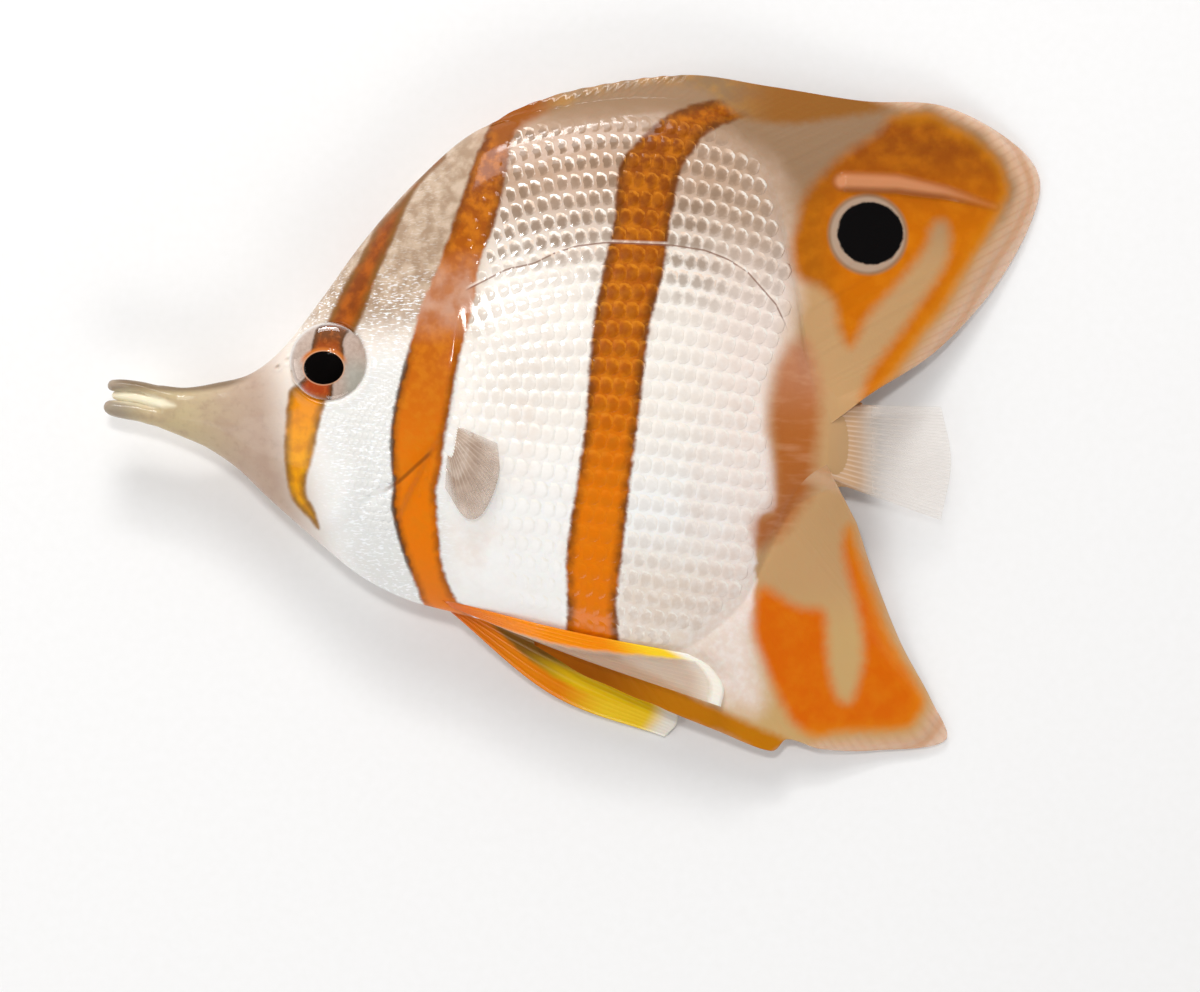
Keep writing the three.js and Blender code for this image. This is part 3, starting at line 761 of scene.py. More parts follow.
def thin_lines(tree, colour, x, y):
    """The gill cover's jagged dark rim and painted shade along the fold at its corner, and the lateral line,
    a thin brown seam with a pale rim over it."""
    jagged = plus(tree, distance_to(tree, "gill_edge"), times(tree, noise(tree, 0.7, 5), 0.7))
    # painted shade: fold darkens a line in the crease at the gill cover's corner
    fold = (distance_to(tree, "crease"), 0.26, 0.04, 0, 0.6)
    seam = (distance_to(tree, "lateral"), 0.1, 0.04, 0, 0.75)
    lateral = mark(tree, "lateral")
    on_line = times(tree, (x, -9.4, -8.6), (x, 18.5, 17.8))
    return painted(
        tree,
        colour,
        [(74, 46, 14), (jagged, 0.66, 0.34, 0, 0.8), (y, -14.6, -12.5), (y, 6, 4)],
        [(110, 54, 8), fold, (x, -16.6, -15.4), (x, -11.9, -12.6)],
        [(255, 240, 226), (lateral, 0.02, 0.1), (lateral, 0.36, 0.16, 0, 0.6), on_line],
        [(136, 92, 76), seam, on_line],
    )


def eye_bar(tree, colour, y):
    """The bar through the eye: mottled amber below it and grainy brown above it, with dark edges."""
    grain = painted(tree, (134, 62, 0), [(176, 88, 2), (noise(tree, 1.2, 4), 0.35, 0.68)])
    amber = painted(
        tree,
        (246, 168, 0),
        [(236, 144, 2), (y, -5, 1.5)],
        [(206, 122, 6), (noise(tree, 1.1, 4), 0.4, 0.7, 0, 0.6)],
        [(176, 118, 40), (y, 0.6, 2.8, 0, 0.75)],
        [grain, (y, 3.5, 7.5)],
        [(130, 62, 0), (y, 13, 21, 0, 0.6)],
    )
    colour, depth = laid_over(tree, colour, amber, "eye_bar", 0.12, 0.22)
    return dark_edge(tree, colour, depth, (120, 84, 30), 0.8, 0.8)


def back_and_tail(tree, colour, x, y):
    """The dorsal fin's brown membrane with an orange hem, browner behind and redder in front, and the
    streaked tan bar over the root of the tail."""
    hem = plus(tree, mark(tree, "solid"), times(tree, noise(tree, 2), 0.5))
    sail = painted(
        tree,
        (146, 114, 80),
        [(172, 126, 70), (noise(tree, 1.5, 4), 0.35, 0.7)],
        [(176, 92, 0), (hem, 1.7, 1)],
        [(150, 96, 40), (x, 12, 18)],
        [(152, 80, 6), (x, -0.5, -4)],
    )
    colour, _depth = laid_over(tree, colour, sail, "back_edge", 0.3, 0.6)
    tan = painted(
        tree,
        (178, 102, 44),
        [(194, 128, 90), (y, -2, 5)],
        [(208, 152, 112), (noise(tree, 1.1, 2, (4, 0.7, 1)), 0.42, 0.8, 0, 0.5)],
    )
    return laid_over(tree, colour, tan, "tail_bar", 0.3, 1)[0]


def rear_fins(tree, colour, x, y):
    """The orange of the rear fins, brown at the top and along its inner edge and lighter at the margin, the
    anal fin's darker front, and the pink pleat over the eyespot."""
    orange = painted(
        tree,
        (206, 110, 0),
        [(150, 76, 14), (y, 15, 24)],
        [(222, 104, 0), (y, -8, -14)],
        [(150, 86, 14), (x, 24.5, 20.5, 0, 0.6), (y, 0, 6)],
        [(228, 152, 24), (mark(tree, "solid"), 1.8, 0.2, 0, 0.4)],
        [(232, 140, 20), (noise(tree, 1.8, 4), 0.35, 0.75, 0, 0.3)],
    )
    colour, _depth = laid_over(tree, colour, orange, "rear_orange", 0.22, 0.8)
    lead = painted(tree, (158, 84, 2), [(196, 120, 6), (x, 1, 9)])
    colour, _depth = laid_over(tree, colour, lead, "anal_front", 0.2, 0.5)
    pleat = mark(tree, "pleat")
    pink = painted(tree, (206, 138, 94), [(168, 92, 30), (pleat, -0.75, -0.1)])
    return painted(tree, colour, [pink, (pleat, 0.1, -0.25), (x, 37, 31, 0.35, 1)])


def eyespot(tree, colour):
    """A black spot with an uneven edge in a pale double ring."""
    spot = calculate(tree, "MULTIPLY_ADD", noise(tree, 0.8), 0.35, mark(tree, "eyespot"))
    ring = mark(tree, "ring")
    return painted(
        tree,
        colour,
        [(150, 122, 96), (ring, 3.75, 3.3, 0, 0.9)],
        [(196, 172, 152), (ring, 3.4, 3.1, 0, 0.6)],
        [(5, 3, 3), (spot, 3.2, 2.95)],
    )


def coat_colours(tree):
    """The fish's colours from its marks, laid in turn from the flank outwards."""
    x, y = coordinates(tree)
    colour = copper_bars(tree, body_paint(tree, x, y), y)
    colour = eye_bar(tree, thin_lines(tree, colour, x, y), y)
    colour = rear_fins(tree, back_and_tail(tree, colour, x, y), x, y)
    return eyespot(tree, colour)


def skin_material():
    """Wet living skin: the coat's colours under a clear film, with fine lumps."""
    material, tree = new_material("skin")
    lumps = plus(tree, noise(tree, 0.35, 4), noise(tree, 1.8, 2))
    roughness = rise(tree, noise(tree, 2.2), 0.3, 0.7, 0.34, 0.5)
    inputs = {"Base Color": coat_colours(tree), "Roughness": roughness, "Coat Weight": 0.42}
    inputs |= {"Normal": bumps(tree, lumps, 0.22, 0.12), "Coat Roughness": 0.08}
    inputs |= {"Specular IOR Level": 0.08, "Subsurface Weight": 0.12}
    finish(tree, inputs | {"Subsurface Scale": 0.0006, "Subsurface Radius": (1.0, 0.5, 0.3)})
    return material


skin_paint = skin_material()
skin = shell(body_rings(SKIN_STATIONS, SKIN_AROUND), "skin", skin_paint)
jaws = [shell(jaw_rings(rows), "jaw", skin_paint) for rows in (UPPER_JAW, LOWER_JAW, MOUTH_LINING)]
skin = joined(skin, jaws)
relax(skin.data, *JOIN, SMOOTHING_ROUNDS)
skin_x, skin_y, _skin_z = points_of(skin.data).T / MM
keep_marks(skin.data, marks_at(skin_x, skin_y))
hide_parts("head", "trunk", "tail", "upper_jaw", "lower_jaw")


# Scales. Thin overlapping plates of bone under clear skin, set in rows that arch with the lateral line. Each
# is rooted in the skin, crowned, and raised at its rear edge; those of the head are smaller. A plate's rows
# run from its root to its rear edge, each with its lift off the skin and its share of the width.
SCALE_ROWS = np.array([0, 0.3, 0.5, 0.66, 0.8, 0.92, 1.0])
SCALE_LIFT = np.array([-0.1, -0.03, -0.004, 0.006, 0.016, 0.016, -0.07])
SCALE_WIDTH = np.array([0.6, 0.95, 1.0, 0.97, 0.82, 0.55, 0.4])
SCALE_ACROSS = np.array([-1, -0.62, 0, 0.62, 1])
PLATE_LONG = SCALE_ROWS[:, None] + 0 * SCALE_ACROSS
PLATE_WIDE = SCALE_WIDTH[:, None] * SCALE_ACROSS
CROWN = 0.01
RIM_DROP = -0.09
# pitches are the steps along a row at its front, its middle and its rear, box the corners of what is filled,
# clear how far a seat keeps from the body's edge, and net how strongly the cells and their net show.
TRUNK_SCALES = {
    "length": 1.95,
    "width": 2.2,
    "lift": 1.0,
    "net": 1.0,
    "pitches": (1.12, 1.1, 0.86),
    "row_pitch": 1.62,
    "box": ((-17, -22), (21, 34)),
    "clear": 1.1,
    "seed": 3,
}
HEAD_SCALES = {
    "length": 0.86,
    "width": 0.92,
    "lift": 0.45,
    "net": 0.22,
    "pitches": (0.5, 0.5, 0.5),
    "row_pitch": 0.68,
    "box": ((-28, -17), (-5, 32)),
    "clear": 0.5,
    "seed": 5,
}
SHAKE_ALONG = 0.05
SHAKE_ACROSS = 0.04
LOWEST_PLATE = 0.015
# The middle of a plate's dusky cell and its half sizes, as shares of the plate.
CELL = {"along": 0.64, "aside": -0.12, "long": 0.24, "tall": 0.53}
ARCH = {"middle": 3.9, "fall": 0.0148, "low_slope": -0.13}
PATCH = 0.003
FIN_ROOT_HALF = 0.42
BLEND = 0.5
# The least thickness of flesh under a seat, and beside it.
EDGE_FLESH = 1.2
EDGE_CLEAR = 0.4


def arch(x, y):
    """How far a row of scales is bent from level at each place, and its slope there: it arches over the
    lateral line and slants down towards the tail below it."""
    high = smooth(y, -4, 12)
    off = x - ARCH["middle"]
    bent = high * -ARCH["fall"] * off**2 + (1 - high) * ARCH["low_slope"] * off
    slope = high * -2 * ARCH["fall"] * off + (1 - high) * ARCH["low_slope"]
    return bent, slope


def blended(flesh, plate, blend):
    """The larger of two thicknesses, with a smooth change from one to the other."""
    return (flesh + plate + np.sqrt((flesh - plate) ** 2 + blend**2)) / 2


def fleshed(x, y):
    """How far the skin stands off the middle plane, with the roots of the median fins blended into it."""
    bare = flank(x, y) - COAT
    return bare + (blended(bare, FIN_ROOT_HALF, BLEND) - bare) * smooth(x, -7.5, -5)


def scale_seats(spec):
    """Seats in alternating rows over a box, closer together towards the tail, and shaken a little."""
    pitches, row_pitch = spec["pitches"], spec["row_pitch"]
    (low_x, low_y), (high_x, high_y) = spec["box"]
    count = int((high_x - low_x) / min(pitches)) + 1
    steps = np.interp(np.linspace(0, 1, count), [0, 0.6, 1], pitches)
    rows = np.arange(low_y, high_y, row_pitch)
    x, y = np.meshgrid(low_x + np.cumsum(steps), rows)
    x = x + steps / 2 * (np.arange(len(rows)) % 2)[:, None]
    shake = np.random.default_rng(spec["seed"])
    x = x + shake.uniform(-SHAKE_ALONG, SHAKE_ALONG, x.shape) * pitches[0]
    y = y + shake.uniform(-SHAKE_ACROSS, SHAKE_ACROSS, y.shape) * row_pitch
    y = y + arch(x, y)[0]
    return x.ravel(), y.ravel()


def seat_shares(x, y, head):
    """The share of their full lift and of their full size that plates have at each seat: the head's are
    flat on the nape, and the trunk's are flatter low down and smaller behind the gill cover."""
    if head:
        return 1 - 0.75 * smooth(y, 5, 9) * smooth(x, -18.5, -17.5), np.ones(len(x))
    return 0.55 + 0.45 * smooth(y, -4, 8), 0.72 + 0.28 * smooth(x - head_end(y), 0, 3)


def plate_points(seats, side, spec):
    """The points of the plates on one flank. Each is a grid turned along its row: its outline widens and
    closes, its height follows the flank, and its rim is turned down into the skin."""
    head = spec is HEAD_SCALES
    high, small = (share[:, None, None] for share in seat_shares(*seats, head))
    lift = SCALE_LIFT[:, None] + CROWN * (1 - SCALE_ACROSS**2)
    lift = np.where(np.abs(SCALE_ACROSS) == 1, RIM_DROP, lift) * spec["lift"]
    lift = np.where(lift > 0, lift * high, lift)
    x, y = (seat[:, None, None] for seat in seats)
    slope = arch(x, y)[1]
    turn = np.hypot(1, slope)
    forth = spec["length"] * small * (PLATE_LONG - 0.5)
    out = spec["width"] / 2 * small * PLATE_WIDE
    x, y = x + (forth - out * slope) / turn, y + (forth * slope + out) / turn
    shape_x = x if head else np.maximum(x, head_end(y) + 0.3)
    off = fleshed(x, y) + relief(shape_x, y) + lift
    z = np.maximum(MID_HEIGHT + side * off, LOWEST_PLATE + 0.01 * PLATE_LONG)
    return np.stack([x, y, z], axis=-1).reshape(-1, 3)


def plate_faces(count):
    """Each plate's grid of quads, and one face that closes it from under round its rim."""
    rows, across = PLATE_LONG.shape
    index = np.arange(rows * across).reshape(rows, across)
    rim = np.concatenate([index[0], index[1:, -1], index[-1, -2::-1], index[-2:0:-1, 0]])
    starts = np.arange(count)[:, None] * rows * across
    tops = (starts[:, :, None] + grid_faces(rows, across)).reshape(-1, 4)
    return tops.tolist() + (starts + rim[::-1]).tolist()


def unwrap(coat, seats, side):
    """Gives each plate a small patch of the map, along it by its place on the body and up it by its height
    on the flank, with the two flanks in its two halves."""
    place, height, _half = (value[:, None, None] for value in section_through(*seats))
    u = 0.02 + 0.96 * place / BODY_END + PATCH * (PLATE_LONG - 0.5)
    v = 0.5 + side * (0.25 + 0.23 * height) + PATCH * PLATE_WIDE / 2
    flat = np.stack([u, v], axis=-1).reshape(-1, 2)
    corners = np.empty(len(coat.data.loops), int)
    coat.data.loops.foreach_get("vertex_index", corners)
    layout = coat.data.uv_layers.new(name="OFBake")
    layout.data.foreach_set("uv", flat[corners].astype(np.float32).ravel())


def scale_coat(name, seats, side, spec, material):
    """The plates on one flank, side 1 the left and -1 the right."""
    count = len(seats[0])
    points = plate_points(seats, side, spec)
    marks = marks_at(points[:, 0], points[:, 1])
    marks["rim"] = np.tile(PLATE_LONG.ravel(), count)
    marks["across"] = np.tile(PLATE_WIDE.ravel(), count)
    marks["net"] = np.full(len(points), spec["net"])
    coat = piece(name, points, plate_faces(count), material, marks)
    unwrap(coat, seats, side)


def bars_and_flank(tree):
    """How far a point is on the silver flank between the bars, and how far in one of the bars."""
    between, in_bars = rise(tree, mark(tree, "silver"), 0, 1.5), 0
    for bar in ("third_bar", "second_bar", "eye_bar", "back_edge"):
        in_bar = rise(tree, mark(tree, bar), -0.3, 0.15)
        between = times(tree, between, minus(tree, 1, in_bar))
        in_bars = calculate(tree, "MAXIMUM", in_bars, in_bar)
    return between, in_bars


def dusk(tree, x, y):
    """How dark the cells are: darkest on the upper flank, and fading forwards, backwards and downwards, in
    clouds. Over the shoulder they fade into a painted highlight of its wet shine."""
    # painted highlight: the cells are lightened where the shoulder's wet shine falls
    painted_shine = times(tree, (y, 4.5, 7.5), (y, 14, 11.5), (x, 3.5, 0), 0.7)
    plain = times(tree, (y, 3, -5), (x, 2.5, -0.5))
    clouds = (noise(tree, 5), 0.3, 0.55, 0.6, 1)
    zones = times(tree, (y, 4, 15, 0.26, 1), (x, -9.5, -7), (x, 10, 17, 1, 0.6), clouds)
    return times(tree, zones, minus(tree, 1, painted_shine), minus(tree, 1, plain))


def cell_reach(tree, x):
    """The distance from the middle of a scale's cell, 1 at its edge and uneven, and how far a point lies
    towards the cell's upper rear side, less so towards the tail."""
    long = calculate(tree, "DIVIDE", minus(tree, mark(tree, "rim"), CELL["along"]), CELL["long"])
    tall = calculate(tree, "DIVIDE", minus(tree, mark(tree, "across"), CELL["aside"]), CELL["tall"])
    squares = plus(tree, calculate(tree, "POWER", long, 2), calculate(tree, "POWER", tall, 2))
    uneven = times(tree, minus(tree, noise(tree, 0.4, 5), 0.5), 1.3)
    toward = plus(tree, times(tree, long, 0.7), tall)
    return plus(tree, calculate(tree, "SQRT", squares), uneven), minus(tree, toward, (x, 4, 10, 0, 0.7))


def scale_material():
    """Clear skin over silvery bone: a dusky cell in the middle of each scale, and a bright net between the
    cells, partly the scales' own silver and partly painted highlight, brightest over their upper rear sides,
    under a wet film."""
    material, tree = new_material("scale")
    x, y = coordinates(tree)
    between, in_bars = bars_and_flank(tree)
    reach, toward = cell_reach(tree, x)
    kind = mark(tree, "net")
    cell = times(tree, (reach, 1.45, 0.45), kind)
    dusky = times(tree, dusk(tree, x, y), between)
    # The arcs and the net are partly the scales' own silver and partly painted highlight, strongest on each
    # cell's upper rear side.
    arc = times(tree, (toward, -0.4, 0.8), (reach, 0.95, 1.25), kind)
    broken = (noise(tree, 0.7, 4), 0.36, 0.58, 0.3, 1)
    net = times(tree, arc, (reach, 2, 1.5), (toward, 0, 1.5, 0.55, 1), broken)
    net_silver_and_highlight = times(tree, net, between, 0.98)
    barred = times(tree, in_bars, (y, -12, 6, 0.15, 1), (x, -6, -3))
    colour = painted(
        tree,
        coat_colours(tree),
        [(132, 106, 82), cell, dusky, 0.78],
        [(240, 196, 158), arc, (reach, 2.5, 1.7), dusky, 0.75],
        [(255, 250, 240), net_silver_and_highlight],
        [(120, 56, 0), cell, barred, 0.4],
        [(238, 150, 34), net, barred, 0.42],
    )
    inputs = {"Base Color": colour, "Roughness": 0.38, "Normal": bumps(tree, noise(tree, 0.25), 0.2, 0.06)}
    inputs |= {"Coat Weight": 0.42, "Coat Roughness": 0.07, "Specular IOR Level": 0.08}
    finish(tree, inputs | {"Metallic": times(tree, net_silver_and_highlight, 0.2)})
    return material


def clear_seats(spec):
    """The seats on the silver flank that lie behind the gill cover's rim, or on the head, and off the eye,
    the bare snout, the second bar, the creases and the body's edges."""
    x, y = scale_seats(spec)
    ahead = head_end(y) - x
    sides = np.minimum(flank(x, y - spec["clear"]), flank(x, y + spec["clear"]))
    keep = (flank(x, y) > EDGE_FLESH) & (np.minimum(sides, flank(x + 0.8, y)) > EDGE_CLEAR)
    on_silver = inside(x, y, MARKS["silver"][0])
    if spec is HEAD_SCALES:
        keep &= (on_silver > 0.2) & (ahead > 0.45) & (x + 0.22 * y > -22.0)
        keep &= np.hypot(x - EYE["x"], y - EYE["y"]) > EYE["radius"] + 1.1
        keep &= (line_distance(x, y, GILL_CREASE) > 0.5) & (inside(x, y, MARKS["second_bar"][0]) < -0.3)
    else:
        keep &= (ahead < -0.1) & (on_silver > 0.2 + 0.9 * smooth(x, 12, 16))
    return x[keep], y[keep]


scale_paint = scale_material()
trunk_seats, head_seats = clear_seats(TRUNK_SCALES), clear_seats(HEAD_SCALES)
for side, flank_name in ((1, "left"), (-1, "right")):
    scale_coat(f"scales_trunk_{flank_name}", trunk_seats, side, TRUNK_SCALES, scale_paint)
    scale_coat(f"scales_head_{flank_name}", head_seats, side, HEAD_SCALES, scale_paint)


# Eyes. A clear bulging cornea over a flat iris and a round black pupil, which looks a little forwards and
# down. The copper bar runs on across the iris over and under the pupil. A profile's rows are shares of the
# radius and heights over the flank.
PUPIL = {"x": -21.45, "y": 3.9, "wide": 1.68, "tall": 1.39}
IRIS_BAR = [
    (-22.1, 7.6), (-22.65, 6.2), (-22.8, 5.1), (-23, 4), (-23.3, 3.2), (-24, 2.2), (-23.2, 0.5),
    (-21.1, 0.6), (-20.5, 1.4), (-20.35, 2.6), (-19.8, 3.6), (-19.5, 4.6), (-19.45, 5.3), (-19.5, 6.2),
    (-18.9, 7.4), (-20.4, 8.4),
]
IRIS_PROFILE = [
    (0.04, -0.04), (0.3, -0.03), (0.5, -0.02), (0.65, -0.01), (0.8, -0.04), (0.95, -0.12), (1.03, -0.3),
    (1, -0.8), (0.6, -1.2), (0.04, -1.3),
]
PUPIL_PROFILE = [
    (0.04, 0.1), (0.4, 0.09), (0.8, 0.05), (0.96, 0.01), (1.02, -0.06), (0.9, -0.3), (0.04, -0.35),
]
DOME_PROFILE = [
    (np.sin(t) * 1.015 + 0.001, EYE["dome"] * np.cos(t) - 0.06) for t in np.linspace(0, np.pi / 2, 14)
] + [(1.0, -0.3), (0.5, -0.45), (0.02, -0.5)]
EYE_RINGS = 61
EYE_AROUND = 72
EYE_LEVEL = float(flank(np.array([EYE["x"]]), np.array([EYE["y"]]))[0])


def round_piece(name, centre, radii, profile, side, material):
    """A closed round piece of the eye. Each ring is an oval about the centre, its size and height from the
    profile, whose rows are smoothed."""
    knots = np.linspace(0, 1, len(profile))
    share, height = along(np.column_stack([knots, profile]), np.linspace(0, 1, EYE_RINGS)).T[:, :, None]
    turn = np.linspace(0, 2 * np.pi, EYE_AROUND, endpoint=False)[None, :]
    x = centre[0] + radii[0] * share * np.cos(turn)
    y = centre[1] + radii[1] * share * np.sin(turn)
    z = MID_HEIGHT + side * (EYE_LEVEL + height) + 0 * x
    made = shell(np.stack([x, y, z], axis=-1), name, material)
    return made


def mark_iris(iris):
    """Marks how far each point of the iris is inside the copper bar, and its distance from the pupil's
    middle, 1 at the pupil's edge."""
    x, y, _z = points_of(iris.data).T / MM
    reach = np.hypot((x - PUPIL["x"]) / PUPIL["wide"], (y - PUPIL["y"]) / PUPIL["tall"])
    keep_marks(iris.data, {"iris_bar": inside(x, y, IRIS_BAR), "pupil_reach": reach})


def iris_material():
    """A silvery rose iris with fine rays, crossed by the copper of the eye bar: olive brown above, bright
    orange round the pupil and red below it."""
    material, tree = new_material("iris")
    x, y = coordinates(tree)
    rays = noise(tree, 0.35, 5)
    depth = plus(tree, mark(tree, "iris_bar"), minus(tree, times(tree, rays, 0.3), 0.28))
    reach = mark(tree, "pupil_reach")
    bar = painted(
        tree,
        (128, 72, 26),
        [(182, 84, 14), (y, 6.8, 5.6)],
        [(198, 76, 18), (y, 3.6, 2.6)],
        [(186, 126, 34), (y, 1.9, 0.9)],
        [(222, 122, 44), (rays, 0.45, 0.75, 0, 0.5)],
        [(104, 66, 30), (depth, 0.75, 0.15)],
    )
    colour = painted(
        tree,
        (208, 184, 168),
        [(224, 204, 190), (rays, 0.3, 0.7)],
        [(190, 206, 196), (x, -20.2, -19), (y, 5.5, 3.2), 0.5],
        [bar, (depth, 0, 0.25)],
        [(236, 134, 48), (reach, 1.38, 1.12), (y, 4, 5)],
        [(240, 184, 144), (reach, 1.12, 1.06, 0, 0.75)],
        [(40, 8, 4), (reach, 1.04, 1)],
    )
    inputs = {"Base Color": colour, "Roughness": 0.4, "Specular IOR Level": 0.12}
    finish(tree, inputs | {"Normal": bumps(tree, rays, 0.25, 0.08)})
    return material


def pupil_material():
    """Black with a faint warm depth."""
    material, tree = new_material("pupil")
    colour = layer(tree, noise(tree, 0.8), (2, 1, 1), (9, 5, 5))
    finish(tree, {"Base Color": colour, "Roughness": 0.5, "Specular IOR Level": 0.02})
    return material


def cornea_material():
    """Clear wet skin over the eye: it shows what is under it and mirrors the lamps, more so at its edge."""
    material, tree = new_material("cornea")
    clear = add_node(tree, "ShaderNodeBsdfTransparent", {"Color": (0.98, 0.975, 0.97, 1)})
    inputs = {"Base Color": srgb(255, 252, 248), "Metallic": 1.0, "Roughness": 0.035}
    gloss = add_node(tree, "ShaderNodeBsdfPrincipled", inputs)
    edge = add_node(tree, "ShaderNodeLayerWeight", {"Blend": 0.5}).outputs["Facing"]
    share = rise(tree, edge, 0, 0.6, 0.002, 0.75)
    seen = add_node(tree, "ShaderNodeMixShader", {0: share, 1: clear.outputs[0], 2: gloss.outputs[0]})
    add_node(tree, "ShaderNodeOutputMaterial", {"Surface": seen.outputs[0]})
    return material


iris_paint, pupil_paint, cornea_paint = iris_material(), pupil_material(), cornea_material()
seat = (EYE["x"], EYE["y"])
ball = (EYE["radius"], EYE["radius"])
looks = (PUPIL["x"], PUPIL["y"])
pupil_size = (PUPIL["wide"], PUPIL["tall"])
for side, name in ((1, "left"), (-1, "right")):
    mark_iris(round_piece(f"iris_{name}", seat, ball, IRIS_PROFILE, side, iris_paint))
    round_piece(f"pupil_{name}", looks, pupil_size, PUPIL_PROFILE, side, pupil_paint)
    cornea = round_piece(f"cornea_{name}", seat, ball, DOME_PROFILE, side, cornea_paint)
    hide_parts(f"eye_{name}")


# Dorsal and anal fins. A fleshy plate grows out of the back and the belly and thins to a clear margin. Its
# rays show as fine ridges, forked towards the margin, and its first rays are stout spines. The fin runs
# between two places along the body, and each row of its tips is a share of its length and a point.
DORSAL = {
    "edge": "back",
    "grid": (306, 150),
    "from": 8.05,
    "to": 14.75,
    "rays": 38,
    "spines": 9,
    "tips": [
        [0, -7.5, 24.95, 5.1],
        [0.04, -4.6, 26.6, 4.95],
        [0.1, 0.4, 28.2, 4.8],
        [0.24, 9.6, 29.45, 4.3],
        [0.36, 17.0, 28.5, 3.8],
        [0.48, 25.2, 27.3, 2.9],
        [0.58, 32.0, 27.0, 1.9],
        [0.67, 37.6, 24.4, 0.9],
        [0.75, 40.7, 21.0, 0.35],
        [0.82, 39.9, 16.6, 0.35],
        [0.88, 36.6, 10.9, 0.8],
        [0.94, 31.5, 5.5, 2.2],
        [1, 25.6, 1.7, 4.4],
    ],
}
ANAL = {
    "edge": "belly",
    "grid": (240, 130),
    "from": 8.95,
    "to": 14.6,
    "rays": 24,
    "spines": 3,
    "tips": [
        [0, -3.4, -20.0, 5.2],
        [0.04, 0.6, -22.5, 4.9],
        [0.1, 6.8, -25.2, 4.3],
        [0.2, 12.2, -27.4, 3.6],
        [0.3, 17.1, -29.3, 2.6],
        [0.36, 18.6, -28.3, 2.4],
        [0.44, 21.6, -29.2, 1.7],
        [0.56, 26.6, -29.35, 0.7],
        [0.66, 32.5, -28.5, 0.35],
        [0.74, 31.2, -24.8, 0.35],
        [0.82, 28.6, -20.0, 1.0],
        [0.91, 26.2, -14.2, 2.6],
        [1, 24.5, -9.4, 4.4],
    ],
}
ROOT_DEPTH = 3.4
MARGIN_HALF = 0.12
FLOOR_CLEAR = 0.01
PLATE_TOP = 0.24


def fin_material():
    """Wet fin: the coat's colours, opaque over the flesh and clearing to a see-through margin with rays and
    a darker hem."""
    material, tree = new_material("fin")
    ray, solid = mark(tree, "ray"), mark(tree, "solid")
    depth = plus(tree, solid, calculate(tree, "MULTIPLY_ADD", noise(tree, 1.5), 0.8, -0.4))
    hem = times(tree, (solid, -1.1, -1.5), (solid, -2.1, -1.7))
    margin = layer(tree, ray, (242, 198, 158), (226, 172, 126))
    colour = painted(tree, coat_colours(tree), [margin, (depth, 0.4, -1)], [(206, 146, 92), hem, 0.5])
    alpha = plus(tree, (depth, -1.5, 0.5, 0.36, 1), times(tree, hem, 0.16))
    alpha = calculate(tree, "MAXIMUM", alpha, times(tree, ray, 0.3))
    inputs = {"Base Color": colour, "Roughness": 0.45, "Normal": bumps(tree, noise(tree, 0.4, 4), 0.18, 0.08)}
    inputs |= {"Coat Weight": 0.28, "Coat Roughness": 0.1, "Specular IOR Level": 0.05, "Alpha": alpha}
    finish(tree, inputs | {"Subsurface Weight": 0.15, "Subsurface Scale": 0.0005})
    return material


def fin_plate(name, middle, left, right, material, marks):
    """A closed plate about a middle sheet, a grid of rays by steps outwards, reaching left and right of it
    by the given amounts, and never under the floor. Its grid runs out on the left face and back on the
    right."""
    top, under = middle.copy(), middle.copy()
    top[..., 2] = np.maximum(middle[..., 2] + left, PLATE_TOP)
    under[..., 2] = np.clip(middle[..., 2] - right, FLOOR_CLEAR, top[..., 2] - 0.1)
    loop = np.concatenate([top, under[:, ::-1]], axis=1)
    rays, around = loop.shape[:2]
    faces = grid_faces(rays, around, around=True).tolist()
    j = np.arange(middle.shape[1] - 1)
    for start, turned in ((0, 1), ((rays - 1) * around, -1)):
        cap = np.stack([j, j + 1, around - 2 - j, around - 1 - j], axis=-1) + start
        faces += cap[:, ::turned].tolist()
    doubled = {key: np.concatenate([value, value[:, ::-1]], axis=1) for key, value in marks.items()}
    fin = piece(name + "_skin", loop.reshape(-1, 3), faces, material, doubled)
    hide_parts(name)


def ridges(share, out, rays):
    """The rays' relief from 0 to 1: rounded ridges along the rays that fork into two in the outer half."""
    single = np.clip(np.cos(2 * np.pi * (share * rays + 0.5)), 0, 1) ** 2
    forked = np.clip(np.cos(4 * np.pi * (share * rays + 0.5) + 1.2), 0, 1) ** 2
    return single * (1 - smooth(out, 0.5, 0.75)) + forked * smooth(out, 0.5, 0.75)


def fin_rays(spec, share):
    """The root of each ray, inside the back or the belly, and its tip."""
    rows = along(BODY, spec["from"] + (spec["to"] - spec["from"]) * share)
    back, belly = rows[:, 0:2], rows[:, 2:4]
    here, there = (back, belly) if spec["edge"] == "back" else (belly, back)
    tall = np.hypot(*(back - belly).T)
    inward = np.minimum(ROOT_DEPTH, 0.4 * tall) / tall
    return here + (there - here) * inward[:, None], along(spec["tips"], share)


def pleat_fold(x, depth):
    """How far the pleat stands off the left face: a fold across its width that fades towards the tail."""
    width = PLEAT["width"] * pleat_share(x)
    fold = PLEAT["height"] * smooth(depth + width, 1.1 * width, 0.35 * width)
    return fold * smooth(x, 22.9, 23.6) * (1 - smooth(x, 29, 37)) ** 0.7


